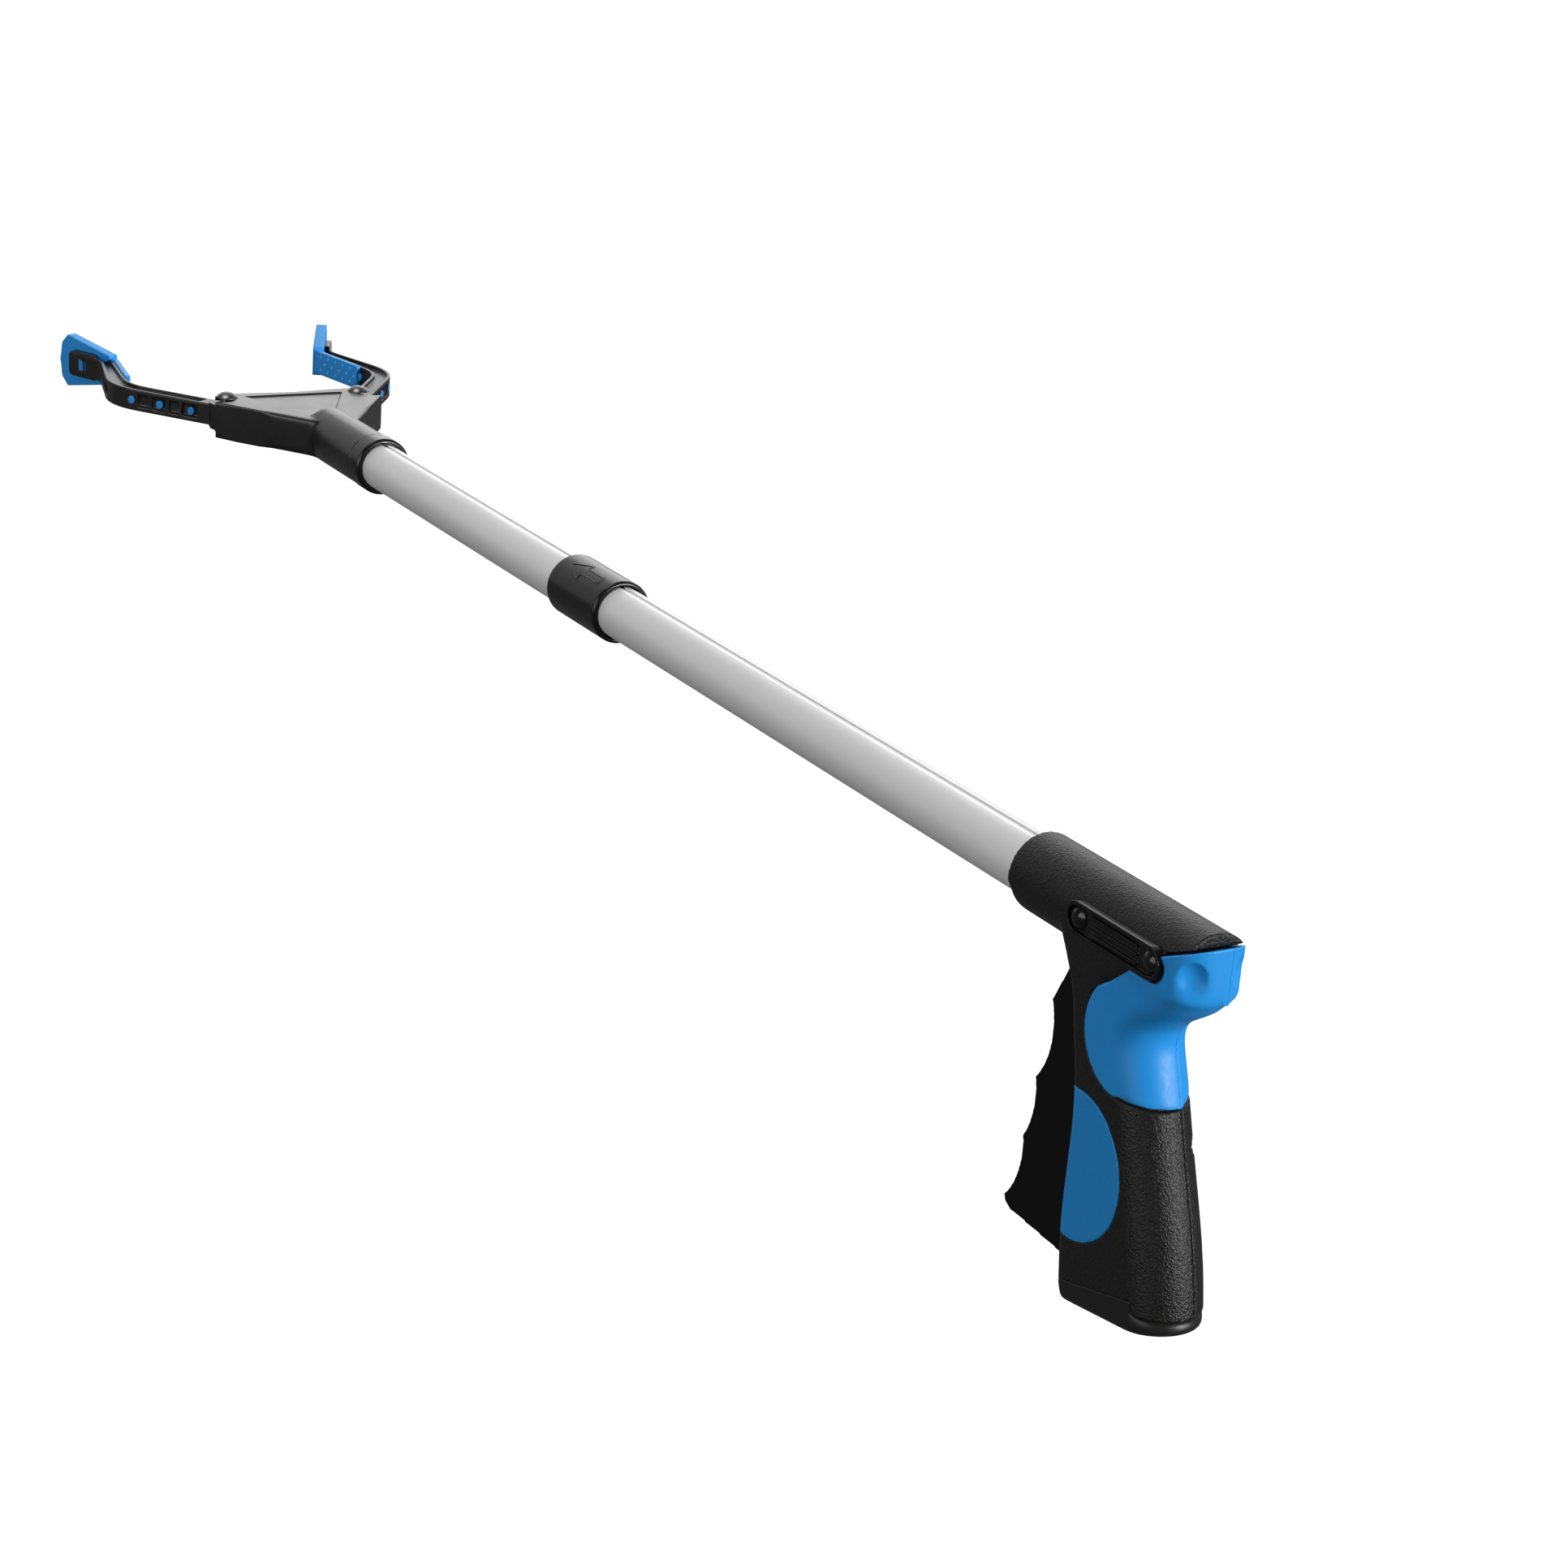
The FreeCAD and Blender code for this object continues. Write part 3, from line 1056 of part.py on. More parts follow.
def build_jaw():
    line = jaw_line()
    halves = [d.arm_half, d.arm_half, d.wrist_half, d.tip_half]
    arm = slab("jaw_arm", "XY_Plane", bar_between(*rounded_path(line, halves)), d.jaw_half)
    disc = rod("jaw_disc_rod", d.jaw_disc, -d.jaw_disc_half, d.jaw_disc_half, axis="Z",
               x=d.rivet_x, y=d.rivet_y)
    pin_x, pin_y = yoke_pin_spot()
    half = d.inner_width / 2
    crank = slab("jaw_crank", "XY_Plane", [
        (d.rivet_x - half, d.rivet_y), (pin_x - half, pin_y), (pin_x + half, pin_y),
        (d.rivet_x + half, d.rivet_y)], d.jaw_half)
    crank_end = rod("jaw_crank_end", half, -d.jaw_half, d.jaw_half, axis="Z",
                    x=pin_x, y=pin_y)
    groove_halves = [d.arm_half - d.rail, d.arm_half - d.rail, d.wrist_half - d.rail,
                     d.tip_half - 1.2]
    groove_line = [(line[0][0] + d.elbow_dx * 0.22, line[0][1] + d.elbow_dy * 0.22),
                   line[1], line[2],
                   (line[2][0] + (d.tip_dx - d.pad_dx) * 0.3,
                    line[2][1] + (d.tip_dy - d.pad_dy) * 0.3)]
    grooves = [slab(f"jaw_groove_{tag}", "XY_Plane",
                    bar_between(*rounded_path(groove_line, groove_halves)),
                    d.rail_depth, z=d.jaw_half * way)
               for tag, way in (("top", 1), ("bottom", -1))]
    fork = box("jaw_fork", (d.rivet_x - 10, d.rivet_x + 12), (4, d.rivet_y - d.jaw_disc - 0.4),
               (-d.fork_gap, d.fork_gap))
    rivet_bore = rod("jaw_bore", d.rivet_radius + d.slip, -20, 20, axis="Z",
                     x=d.rivet_x, y=d.rivet_y)
    pin_bore = rod("jaw_pin_bore", d.jaw_pin_radius + 0.01, -20, 20, axis="Z",
                   x=pin_x, y=pin_y)
    studs = [stud(f"jaw_stud_hole_{index}", leg, share, -8, 16)
             for index, (share, leg) in enumerate(STUDS)]
    pockets = [jaw_pocket(index, *spot) for index, spot in enumerate(POCKETS)]
    piece = cut("jaw_left_piece", fuse("jaw_blank", arm, disc, crank, crank_end, jaw_end()),
                *grooves, fork, rivet_bore, pin_bore, *studs, *pockets,
                jaw_end_plug("jaw_end_window", d.end_plug, size(12)))
    node(piece, "jaw_left")
    mirrored_node(piece, "jaw_right")
    plugs = doc.addObject("Part::Compound", "jaw_plug_group")
    plugs.Links = [stud(f"jaw_plug_{index}", leg, share, -d.arm_half - 0.4, d.arm_half * 2 + 0.4)
                   for index, (share, leg) in enumerate(STUDS) if leg == 0]
    node(plugs, "jaw_plugs_left")
    mirrored_node(plugs, "jaw_plugs_right")
    pin = rod("jaw_pin_rod", d.jaw_pin_radius, -d.jaw_half + 0.4, d.jaw_half - 0.4,
              axis="Z", x=pin_x, y=pin_y)
    node(pin, "yoke_pin_left")
    mirrored_node(pin, "yoke_pin_right")
    return piece


def build_liner(jaw):
    """The rubber: a strip on the jaw's inner face, its studs, and the flared tip pad."""
    line = jaw_line()
    path, halves = rounded_path(line, [d.arm_half, d.arm_half, d.wrist_half, d.tip_half])
    start = BEND_STEPS + 1
    inner = offset_path(path, halves, -1)[start:]
    far = offset_path(path, [half + d.liner_thick for half in halves], -1)[start:]
    strip = slab("liner_strip", "XY_Plane", inner + list(reversed(far)), d.liner_half)
    run_x, run_y = d.tip_dx - d.pad_dx, d.tip_dy - d.pad_dy
    angle = math.degrees(math.atan2(run_y.value, run_x.value))
    pad = slab("tip_pad", "XZ_Plane", [
        (-1.5, d.pad_back_half), (d.pad_length - d.pad_clip, d.pad_front_half),
        (d.pad_length - 1.2, d.pad_front_half - d.pad_clip * 0.8),
        (d.pad_length, 0), (d.pad_length - 1.2, d.pad_clip * 0.8 - d.pad_front_half),
        (d.pad_length - d.pad_clip, -d.pad_front_half), (-1.5, -d.pad_back_half)],
        (d.pad_thick + d.pad_wrap) / 2)
    shift = d.wrist_half + d.liner_thick - (d.pad_thick + d.pad_wrap) / 2
    sin_a, cos_a = math.sin(math.radians(angle)), math.cos(math.radians(angle))
    place(pad, line[2][0] + shift * sin_a, line[2][1] - shift * cos_a, 0,
          rotation=Rotation(Vector(0, 0, 1), angle))
    studs = [stud(f"liner_stud_{index}", leg, share, -5.5, 5.5 + 2.8)
             for index, (share, leg) in enumerate(STUDS) if leg == 1]
    studs.append(jaw_end_plug("liner_end_plug", d.end_plug, size(4.5)))
    piece = cut("liner_left_piece", fuse("liner_blank", strip, pad, *studs), jaw)
    node(piece, "jaw_liner_left")
    mirrored_node(piece, "jaw_liner_right")


build_handle()
build_side_plates()
build_pins()
build_trigger()
build_linkage()
build_shaft()
build_fold()
build_sleeve()
build_cord()
build_swivel()
build_housing()
build_rivets()
build_yoke()
build_spring()
build_liner(build_jaw())
doc.recompute()

# ---------------------------------------------------------------- checks and export

bad = [obj for obj in doc.Objects if "Invalid" in obj.State or "Error" in obj.State]
if bad:
    raise RuntimeError("failed: " + ", ".join(f"{obj.Name} {obj.getStatusString()}" for obj in bad))
labels = [obj.Label for obj in NODES]
if len(set(labels)) != len(labels):
    raise RuntimeError("two sub-parts share a label")
for obj in NODES:
    if obj.Shape.isNull() or not obj.Shape.isValid() or not obj.Shape.Solids:
        raise RuntimeError(f"{obj.Label} has no valid solid")

os.makedirs("parts", exist_ok=True)
for obj in NODES:
    obj.Shape.exportStep(f"parts/{obj.Label}.step")
    bounds = obj.Shape.BoundBox
    print(f"{obj.Label:24s} solids {len(obj.Shape.Solids)} volume {obj.Shape.Volume:10.1f}  "
          f"x {bounds.XMin:7.1f} {bounds.XMax:7.1f}  y {bounds.YMin:6.1f} {bounds.YMax:6.1f}  "
          f"z {bounds.ZMin:7.1f} {bounds.ZMax:6.1f}")
print(len(NODES), "sub-parts")
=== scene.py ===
import json
import math

import bmesh
import bpy
import numpy as np
from mathutils import Matrix, Vector
from mathutils.bvhtree import BVHTree


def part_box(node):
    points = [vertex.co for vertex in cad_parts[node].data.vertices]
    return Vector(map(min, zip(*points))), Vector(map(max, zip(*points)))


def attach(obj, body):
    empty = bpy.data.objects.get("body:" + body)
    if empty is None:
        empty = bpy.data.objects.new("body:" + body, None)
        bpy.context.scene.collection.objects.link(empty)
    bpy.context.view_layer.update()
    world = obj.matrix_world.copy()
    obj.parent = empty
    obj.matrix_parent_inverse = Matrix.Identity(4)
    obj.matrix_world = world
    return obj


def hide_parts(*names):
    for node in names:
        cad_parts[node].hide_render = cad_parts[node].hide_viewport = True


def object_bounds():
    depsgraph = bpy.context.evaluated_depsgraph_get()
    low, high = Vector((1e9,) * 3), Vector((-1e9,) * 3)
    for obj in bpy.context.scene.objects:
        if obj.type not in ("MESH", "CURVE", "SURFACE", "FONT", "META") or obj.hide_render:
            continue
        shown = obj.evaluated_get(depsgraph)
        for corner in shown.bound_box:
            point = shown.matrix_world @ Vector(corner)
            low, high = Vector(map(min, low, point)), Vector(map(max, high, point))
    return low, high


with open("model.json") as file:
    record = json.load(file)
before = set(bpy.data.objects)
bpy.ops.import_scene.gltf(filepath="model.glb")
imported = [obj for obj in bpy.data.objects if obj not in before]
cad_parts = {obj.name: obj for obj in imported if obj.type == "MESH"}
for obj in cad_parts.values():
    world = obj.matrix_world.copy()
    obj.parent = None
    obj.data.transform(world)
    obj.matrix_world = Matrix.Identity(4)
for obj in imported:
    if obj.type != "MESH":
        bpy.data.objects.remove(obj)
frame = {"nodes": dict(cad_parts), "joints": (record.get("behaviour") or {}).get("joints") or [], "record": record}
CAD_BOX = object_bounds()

MM = 0.001
NODES = frame["nodes"]
JOINTS = {joint["name"]: joint for joint in frame["joints"]}
RECORD = frame["record"]
SLOTS = {entry["node"]: entry["material_slot"] for entry in RECORD["subparts"]}
BODIES = {node: body for body, nodes in RECORD["behaviour"]["bodies"].items() for node in nodes}

# Driving places, from the frame.
SLEEVE_LOW, SLEEVE_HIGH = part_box("fold_sleeve")
CAP_LOW, CAP_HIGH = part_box("base_cap")
RIVET = Vector(JOINTS["jaw_left_close"]["pos_m"])
NECK_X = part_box("head_lock_ring")[1].x
SEAM_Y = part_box("grip_overmould_left")[0].y
# The left jaw's two bends, measured from its rivet.
ELBOW = RIVET + Vector((47, 33, 0)) * MM
WRIST = RIVET + Vector((95, 22.6, 0)) * MM


# ---------------------------------------------------------------- materials

class Paint:
    """A small helper that builds a procedural material's nodes."""

    def __init__(self, name, color, roughness, metallic=0.0, specular=0.5):
        self.material = bpy.data.materials.new(name)
        self.material.use_nodes = True
        self.tree = self.material.node_tree
        self.shader = self.tree.nodes["Principled BSDF"]
        self.shader.inputs["Metallic"].default_value = metallic
        self.shader.inputs["Specular IOR Level"].default_value = specular
        self.coordinates = self.add("ShaderNodeTexCoord").outputs["Object"]
        self.color = self.value_color(color)
        self.roughness = self.number(roughness)
        self.height = None

    def add(self, kind, **settings):
        item = self.tree.nodes.new(kind)
        for key, value in settings.items():
            setattr(item, key, value)
        return item

    def link(self, source, target):
        self.tree.links.new(source, target)

    def value_color(self, color):
        item = self.add("ShaderNodeRGB")
        item.outputs[0].default_value = (*color, 1)
        return item.outputs[0]

    def number(self, value):
        item = self.add("ShaderNodeValue")
        item.outputs[0].default_value = value
        return item.outputs[0]

    def stretched(self, stretch):
        """Object coordinates, scaled differently along each axis."""
        mapping = self.add("ShaderNodeMapping")
        mapping.inputs["Scale"].default_value = stretch
        self.link(self.coordinates, mapping.inputs["Vector"])
        return mapping.outputs[0]

    def noise(self, size, detail, stretch=(1, 1, 1)):
        """Noise whose blobs are about size metres across."""
        item = self.add("ShaderNodeTexNoise")
        item.inputs["Scale"].default_value = 1 / size
        item.inputs["Detail"].default_value = detail
        self.link(self.stretched(stretch), item.inputs["Vector"])
        return item.outputs["Fac"]

    def cells(self, size):
        """Soft round cells about size metres across."""
        item = self.add("ShaderNodeTexVoronoi", feature="SMOOTH_F1")
        item.inputs["Scale"].default_value = 1 / size
        self.link(self.stretched((1, 1, 1)), item.inputs["Vector"])
        return item.outputs["Distance"]

    def math(self, operation, first, second):
        item = self.add("ShaderNodeMath", operation=operation)
        for index, value in enumerate((first, second)):
            if isinstance(value, (int, float)):
                item.inputs[index].default_value = value
            else:
                self.link(value, item.inputs[index])
        return item.outputs[0]

    def ramp(self, value, low, high, start=0.0, end=1.0):
        """Goes from start to end as the value goes from low to high."""
        item = self.add("ShaderNodeMapRange")
        for name, number in (("From Min", low), ("From Max", high), ("To Min", start),
                             ("To Max", end)):
            item.inputs[name].default_value = number
        self.link(value, item.inputs["Value"])
        return item.outputs[0]

    def tint(self, mask, color):
        """Mixes another colour in where the mask is 1."""
        item = self.add("ShaderNodeMix", data_type="RGBA")
        self.link(mask, item.inputs["Factor"])
        self.link(self.color, item.inputs["A"])
        item.inputs["B"].default_value = (*color, 1)
        self.color = item.outputs["Result"]

    def vary(self, value, low, high):
        """Roughness from low to high as the pattern goes from 0.3 to 0.7."""
        self.roughness = self.ramp(value, 0.3, 0.7, low, high)

    def edges(self, strength):
        """The strength along outward edges, 0 elsewhere."""
        geometry = self.add("ShaderNodeNewGeometry")
        return self.ramp(geometry.outputs["Pointiness"], 0.52, 0.62, 0, strength)

    def raise_by(self, value, strength):
        """Adds a pattern to the bump, strength in metres."""
        scaled = self.math("MULTIPLY", value, strength)
        self.height = scaled if self.height is None else self.math("ADD", self.height, scaled)

    def done(self):
        self.link(self.color, self.shader.inputs["Base Color"])
        self.link(self.roughness, self.shader.inputs["Roughness"])
        if self.height is not None:
            bump = self.add("ShaderNodeBump")
            bump.inputs["Strength"].default_value = 1.0
            bump.inputs["Distance"].default_value = 1.0
            self.link(self.height, bump.inputs["Height"])
            self.link(bump.outputs[0], self.shader.inputs["Normal"])
        return self.material


def grained_black():
    """Black shell plastic with a fine leather-like grain."""
    paint = Paint("shell_grain", (0.005, 0.0047, 0.0045), 0.36, specular=0.28)
    cells = paint.cells(0.6 * MM)
    fine = paint.noise(0.5 * MM, 4)
    cloud = paint.noise(14 * MM, 3)
    paint.raise_by(cells, 0.2 * MM)
    paint.raise_by(fine, 0.2 * MM)
    paint.vary(fine, 0.3, 0.46)
    paint.tint(paint.ramp(cloud, 0.35, 0.75, 0, 0.3), (0.012, 0.0115, 0.011))
    paint.tint(paint.ramp(fine, 0.55, 0.75, 0, 0.3), (0.03, 0.028, 0.026))
    # Painted highlight: a paler colour along outward edges.
    paint.tint(paint.edges(0.15), (0.03, 0.028, 0.026))
    return paint.done()


def smooth_black(name, color, rough_low, rough_high, specular=0.3, wave=0.004):
    """Smooth moulded plastic: faint flow marks, fine scuffs and a painted highlight along outward edges."""
    paint = Paint(name, color, rough_low, specular=specular)
    scuff = paint.noise(0.6 * MM, 5, (1, 3, 3))
    cloud = paint.noise(18 * MM, 2)
    paint.vary(paint.math("MULTIPLY", paint.math("ADD", scuff, cloud), 0.5), rough_low, rough_high)
    paint.raise_by(scuff, wave * MM)
    paint.raise_by(cloud, 0.02 * MM)
    paint.tint(paint.ramp(cloud, 0.35, 0.7, 0, 0.4), tuple(1.6 * value for value in color))
    # Painted highlight: a paler colour along outward edges.
    paint.tint(paint.edges(0.25), tuple(0.015 + value for value in color))
    return paint.done()


def blue_rubber(name, color, deep, edge_highlight_blue, grain):
    """Soft overmoulding: satin, very fine grain, slight colour drift, a painted highlight along outward edges."""
    paint = Paint(name, color, 0.42, specular=0.25)
    fine = paint.noise(grain, 4)
    cloud = paint.noise(22 * MM, 2)
    paint.raise_by(fine, 0.012 * MM)
    paint.vary(paint.noise(1.4 * MM, 4), 0.36, 0.5)
    paint.tint(paint.ramp(cloud, 0.4, 0.75, 0, 0.45), deep)
    # Painted highlight: a paler blue along outward edges.
    paint.tint(paint.edges(0.5), edge_highlight_blue)
    shader = paint.shader
    shader.inputs["Subsurface Weight"].default_value = 0.06
    shader.inputs["Subsurface Radius"].default_value = (0.3 * MM, 0.6 * MM, 1.2 * MM)
    shader.inputs["Subsurface Scale"].default_value = 1.0
    return paint.done()


def satin_aluminium():
    """Anodised tube: drawn lines along it, a soft anisotropic sheen and a few faint marks."""
    paint = Paint("tube_satin", (0.74, 0.74, 0.74), 0.34, metallic=0.25)
    lines = paint.noise(0.5 * MM, 6, (0.012, 1, 1))
    marks = paint.noise(5 * MM, 6, (0.35, 1, 1))
    paint.vary(paint.math("MULTIPLY", paint.math("ADD", lines, marks), 0.5), 0.34, 0.44)
    paint.raise_by(lines, 0.0015 * MM)
    paint.tint(paint.ramp(marks, 0.5, 0.8, 0, 0.2), (0.66, 0.66, 0.67))
    # A painted highlight: a paler line along the key groove's left edge.
    across = paint.add("ShaderNodeSeparateXYZ")
    paint.link(paint.coordinates, across.inputs[0])
    lit = paint.math("SUBTRACT", paint.ramp(across.outputs["Y"], 0.9 * MM, 1.2 * MM),
                     paint.ramp(across.outputs["Y"], 1.6 * MM, 2.4 * MM))
    paint.tint(paint.math("MULTIPLY", lit, paint.ramp(across.outputs["Z"], 8 * MM, 9 * MM)),
               (0.95, 0.95, 0.95))
    paint.shader.inputs["Anisotropic"].default_value = 0.35
    return paint.done()


def metal(name, color, low, high, grain=0.4):
    """Ground or drawn metal with fine scratches and darker recesses."""
    paint = Paint(name, color, low, metallic=1.0)
    scratch = paint.noise(grain * MM, 5, (1, 1, 0.15))
    cloud = paint.noise(3 * MM, 3)
    paint.vary(scratch, low, high)
    paint.raise_by(scratch, 0.003 * MM)
    paint.tint(paint.ramp(cloud, 0.45, 0.7, 0, 0.4), tuple(0.7 * value for value in color))
    return paint.done()


def braided_cord():
    """Pale braided cord: crossing strands as a diagonal bump."""
    paint = Paint("cord_braid", (0.72, 0.71, 0.67), 0.8)
    for way in (1, -1):
        wave = paint.add("ShaderNodeTexWave", wave_type="BANDS", bands_direction="DIAGONAL")
        wave.inputs["Scale"].default_value = 1 / (0.9 * MM)
        paint.link(paint.stretched((1, way, way)), wave.inputs["Vector"])
        paint.raise_by(wave.outputs["Fac"], 0.06 * MM)
        paint.tint(paint.ramp(wave.outputs["Fac"], 0, 0.4, 0.25, 0), (0.5, 0.48, 0.43))
    return paint.done()


MATERIALS = {
    "shell_black": grained_black(),
    "cap_black": smooth_black("cap_smooth", (0.009, 0.0086, 0.0083), 0.34, 0.44, 0.3),
    "plate_black": smooth_black("plate_gloss", (0.004, 0.004, 0.004), 0.14, 0.24, 0.35, 0.001),
    "pin_black": smooth_black("pin_gloss", (0.005, 0.005, 0.005), 0.14, 0.26, 0.4, 0.001),
    "trigger_black": smooth_black("trigger_smooth", (0.002, 0.002, 0.0025), 0.45, 0.55, 0.12),
    "knuckle_grey": smooth_black("knuckle_smooth", (0.04, 0.04, 0.043), 0.4, 0.55),
    "sleeve_black": smooth_black("sleeve_gloss", (0.004, 0.004, 0.004), 0.2, 0.32, 0.4, 0.002),
    "housing_black": smooth_black("housing_satin", (0.005, 0.005, 0.005), 0.24, 0.34, 0.45),
    "jaw_black": smooth_black("jaw_satin", (0.008, 0.0075, 0.007), 0.28, 0.4, 0.4),
    "grip_blue": blue_rubber("grip_rubber", (0.014, 0.25, 0.64), (0.011, 0.21, 0.56),
                             (0.05, 0.42, 0.85), 0.3 * MM),
    "inlay_blue": blue_rubber("inlay_rubber", (0.012, 0.22, 0.55), (0.01, 0.19, 0.49),
                              (0.04, 0.38, 0.78), 0.2 * MM),
    "liner_blue": blue_rubber("liner_rubber", (0.018, 0.27, 0.7), (0.014, 0.23, 0.61),
                              (0.1, 0.45, 0.85), 0.25 * MM),
    "liner_pale": blue_rubber("liner_dot_rubber", (0.12, 0.45, 0.85), (0.1, 0.4, 0.8),
                              (0.3, 0.65, 0.95), 0.25 * MM),
    "tube_silver": satin_aluminium(),
    "pin_steel": metal("pin_ground", (0.62, 0.62, 0.64), 0.25, 0.4),
    "screw_steel": metal("screw_zinc", (0.5, 0.5, 0.52), 0.3, 0.45),
    "spring_steel": metal("spring_wire", (0.5, 0.5, 0.52), 0.25, 0.4),
    "rivet_gunmetal": metal("rivet_dark", (0.16, 0.155, 0.16), 0.24, 0.38, 0.7),
    "ferrule_brass": metal("ferrule_crimp", (0.75, 0.58, 0.27), 0.25, 0.4),
    "link_nylon": smooth_black("link_nylon_natural", (0.55, 0.54, 0.5), 0.35, 0.5),
    "cord_white": braided_cord(),
}


def paint_frame():
    """Gives every CAD node the material of its slot in the record."""
    for node, slot in SLOTS.items():
        piece = NODES[node]
        piece.data.materials.clear()
        piece.data.materials.append(MATERIALS[slot])


# ---------------------------------------------------------------- softened pieces

def ramp_up(value, low, high):
    """0 below low, 1 above high, smooth between them."""
    share = np.clip((value - low) / (high - low), 0, 1)
    return share * share * (3 - 2 * share)


def relax(mesh, rounds, weight=None, keep_volume=True):
    """Evens out a mesh by moving each vertex towards the mean of its neighbours."""
    count = len(mesh.vertices)
    spots = np.empty(count * 3)
    mesh.vertices.foreach_get("co", spots)
    spots = spots.reshape(-1, 3)
    ends = np.empty(len(mesh.edges) * 2, dtype=np.int64)
    mesh.edges.foreach_get("vertices", ends)
    first, second = ends.reshape(-1, 2).T
    degree = np.maximum(np.bincount(ends, minlength=count), 1)[:, None]
    share = 1.0 if weight is None else weight(spots.copy())[:, None]
    for step in range(rounds):
        back = keep_volume and step % 2 == 1
        total = np.stack([np.bincount(first, spots[second, axis], count)
                          + np.bincount(second, spots[first, axis], count)
                          for axis in range(3)], axis=1)
        spots += (-0.53 if back else 0.5) * share * (total / degree - spots)
    mesh.vertices.foreach_set("co", spots.ravel())
    mesh.update()


def applied(piece):
    """The piece's mesh with its modifiers applied."""
    graph = bpy.context.evaluated_depsgraph_get()
    return bpy.data.meshes.new_from_object(piece.evaluated_get(graph))


def show(name, mesh, body, slot, replaced=(), paint=None):
    """Adds a finished mesh to the model: on its body, with its slot's material or the one named."""
    piece = bpy.data.objects.new(name, mesh)
    bpy.context.scene.collection.objects.link(piece)
    mesh.materials.clear()
    mesh.materials.append(MATERIALS[paint or slot])
    mesh.polygons.foreach_set("use_smooth", [True] * len(mesh.polygons))
    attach(piece, body)
    if replaced:
        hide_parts(*replaced)
    return piece


def soften(node, voxel, rounds, blends=(), thin=0.4):
    """A softly rounded version of a CAD piece that is shown in its place.

    voxel is in millimetres. blends are (rounds, weight function) pairs: places that are
    smoothed further. thin is the share of faces that is kept."""
    piece = bpy.data.objects.new(node + "_draft", NODES[node].data.copy())
    bpy.context.scene.collection.objects.link(piece)
    remesh = piece.modifiers.new("remesh", "REMESH")
    remesh.mode = "VOXEL"
    remesh.voxel_size = voxel * MM
    mesh = applied(piece)
    relax(mesh, rounds)
    for extra, weight in blends:
        relax(mesh, extra, weight, keep_volume=False)
    piece.modifiers.clear()
    piece.data = mesh
    decimate = piece.modifiers.new("thin", "DECIMATE")
    decimate.ratio = thin
    final = applied(piece)
    bpy.data.objects.remove(piece)
    return show(node + "_soft", final, BODIES[node], SLOTS[node], (node,))


def off_seam(spots):
    """0 at the seam between the handle's halves, 1 away from it, so that the seam stays closed."""
    return ramp_up(np.abs(spots[:, 1] - SEAM_Y), 0.3 * MM, 3 * MM)


def spur_blend(spots):
    """The saddle under the spur, and where the spur's block meets the grip."""
    x, _, z = spots.T
    low = ramp_up(z, -40 * MM, -24 * MM) * (1 - ramp_up(z, -1 * MM, 3 * MM))
    return low * (1 - ramp_up(x, -60 * MM, -52 * MM)) * off_seam(spots)


def spur_crease(spots):
    """The narrow band where the spur's block meets the grip."""
    x, _, z = spots.T
    band = ramp_up(z, -16 * MM, -11 * MM) * (1 - ramp_up(z, -5 * MM, -2 * MM))
    front = ramp_up(x, -80 * MM, -76 * MM) * (1 - ramp_up(x, -64 * MM, -60 * MM))
    return np.maximum(band, front * (1 - ramp_up(z, 0, 4 * MM))) * off_seam(spots)


def barrel_blend(spots):
    """The crease where the grip grows out of the barrel."""
    x, y, z = spots.T
    below = ramp_up(z, -16 * MM, -9 * MM) * (1 - ramp_up(z, -5 * MM, -1 * MM))
    inside = 1 - ramp_up(np.abs(y), 13 * MM, 14 * MM)
    return below * inside * ramp_up(x, -76 * MM, -70 * MM)


def cap_blend(spots):
    """The lower edge of the base cap."""
    x, _, z = spots.T
    slope = (CAP_HIGH.z - CAP_LOW.z) * 0.55
    level = CAP_LOW.z + slope * ramp_up(CAP_HIGH.x - x, 0, CAP_HIGH.x - CAP_LOW.x)
    return 1 - ramp_up(z, level + 2.5 * MM, level + 6 * MM)


def neck_blend(spots):
    """Where the round neck runs out into the flat wings."""
    x, y, z = spots.T
    along = ramp_up(x, NECK_X + 38 * MM, NECK_X + 46 * MM)
    along *= 1 - ramp_up(x, NECK_X + 58 * MM, NECK_X + 66 * MM)
    outside = ramp_up(np.hypot(np.minimum(np.abs(y), 9.6 * MM), z), 6.5 * MM, 7.8 * MM)
    return along * outside


def wing_blend(spots):
    """The rounded outer edges of the wings' ends."""
    return ramp_up(np.abs(spots[:, 1]), RIVET.y + 2 * MM, RIVET.y + 6 * MM) * 0.8


def build_handle_skins():
    for side in ("left", "right"):
        soften(f"handle_shell_{side}", 0.45, 10, ((60, barrel_blend),), 0.35)
        soften(f"grip_overmould_{side}", 0.35, 8, ((40, spur_blend), (100, spur_crease)), 0.5)
        soften(f"side_inlay_{side}", 0.35, 8)
        soften(f"side_plate_{side}", 0.22, 4)
    soften("base_cap", 0.45, 10, ((110, cap_blend),))
    soften("trigger", 0.4, 60, thin=0.6)
    soften("trigger_pivot_pins", 0.2, 4)
    soften("rear_cross_bolt", 0.25, 4)


def build_head_skins():
    soften("jaw_housing", 0.4, 22, ((50, neck_blend), (16, wing_blend)))
    soften("jaw_rivets", 0.2, 4)
    soften("fold_sleeve", 0.32, 4)
    soften("head_lock_ring", 0.3, 4)
    for side in ("left", "right"):
        soften(f"jaw_{side}", 0.35, 4)
        soften(f"jaw_plugs_{side}", 0.2, 4)


# ---------------------------------------------------------------- liners with their dots

DOT_RADIUS = 0.75 * MM
DOT_RISE = 0.45 * MM
DOT_ROWS = ((3.1 * MM, 6), (0, 5), (-3.1 * MM, 6))
DOT_START = 0.22
DOT_STEP = 0.13


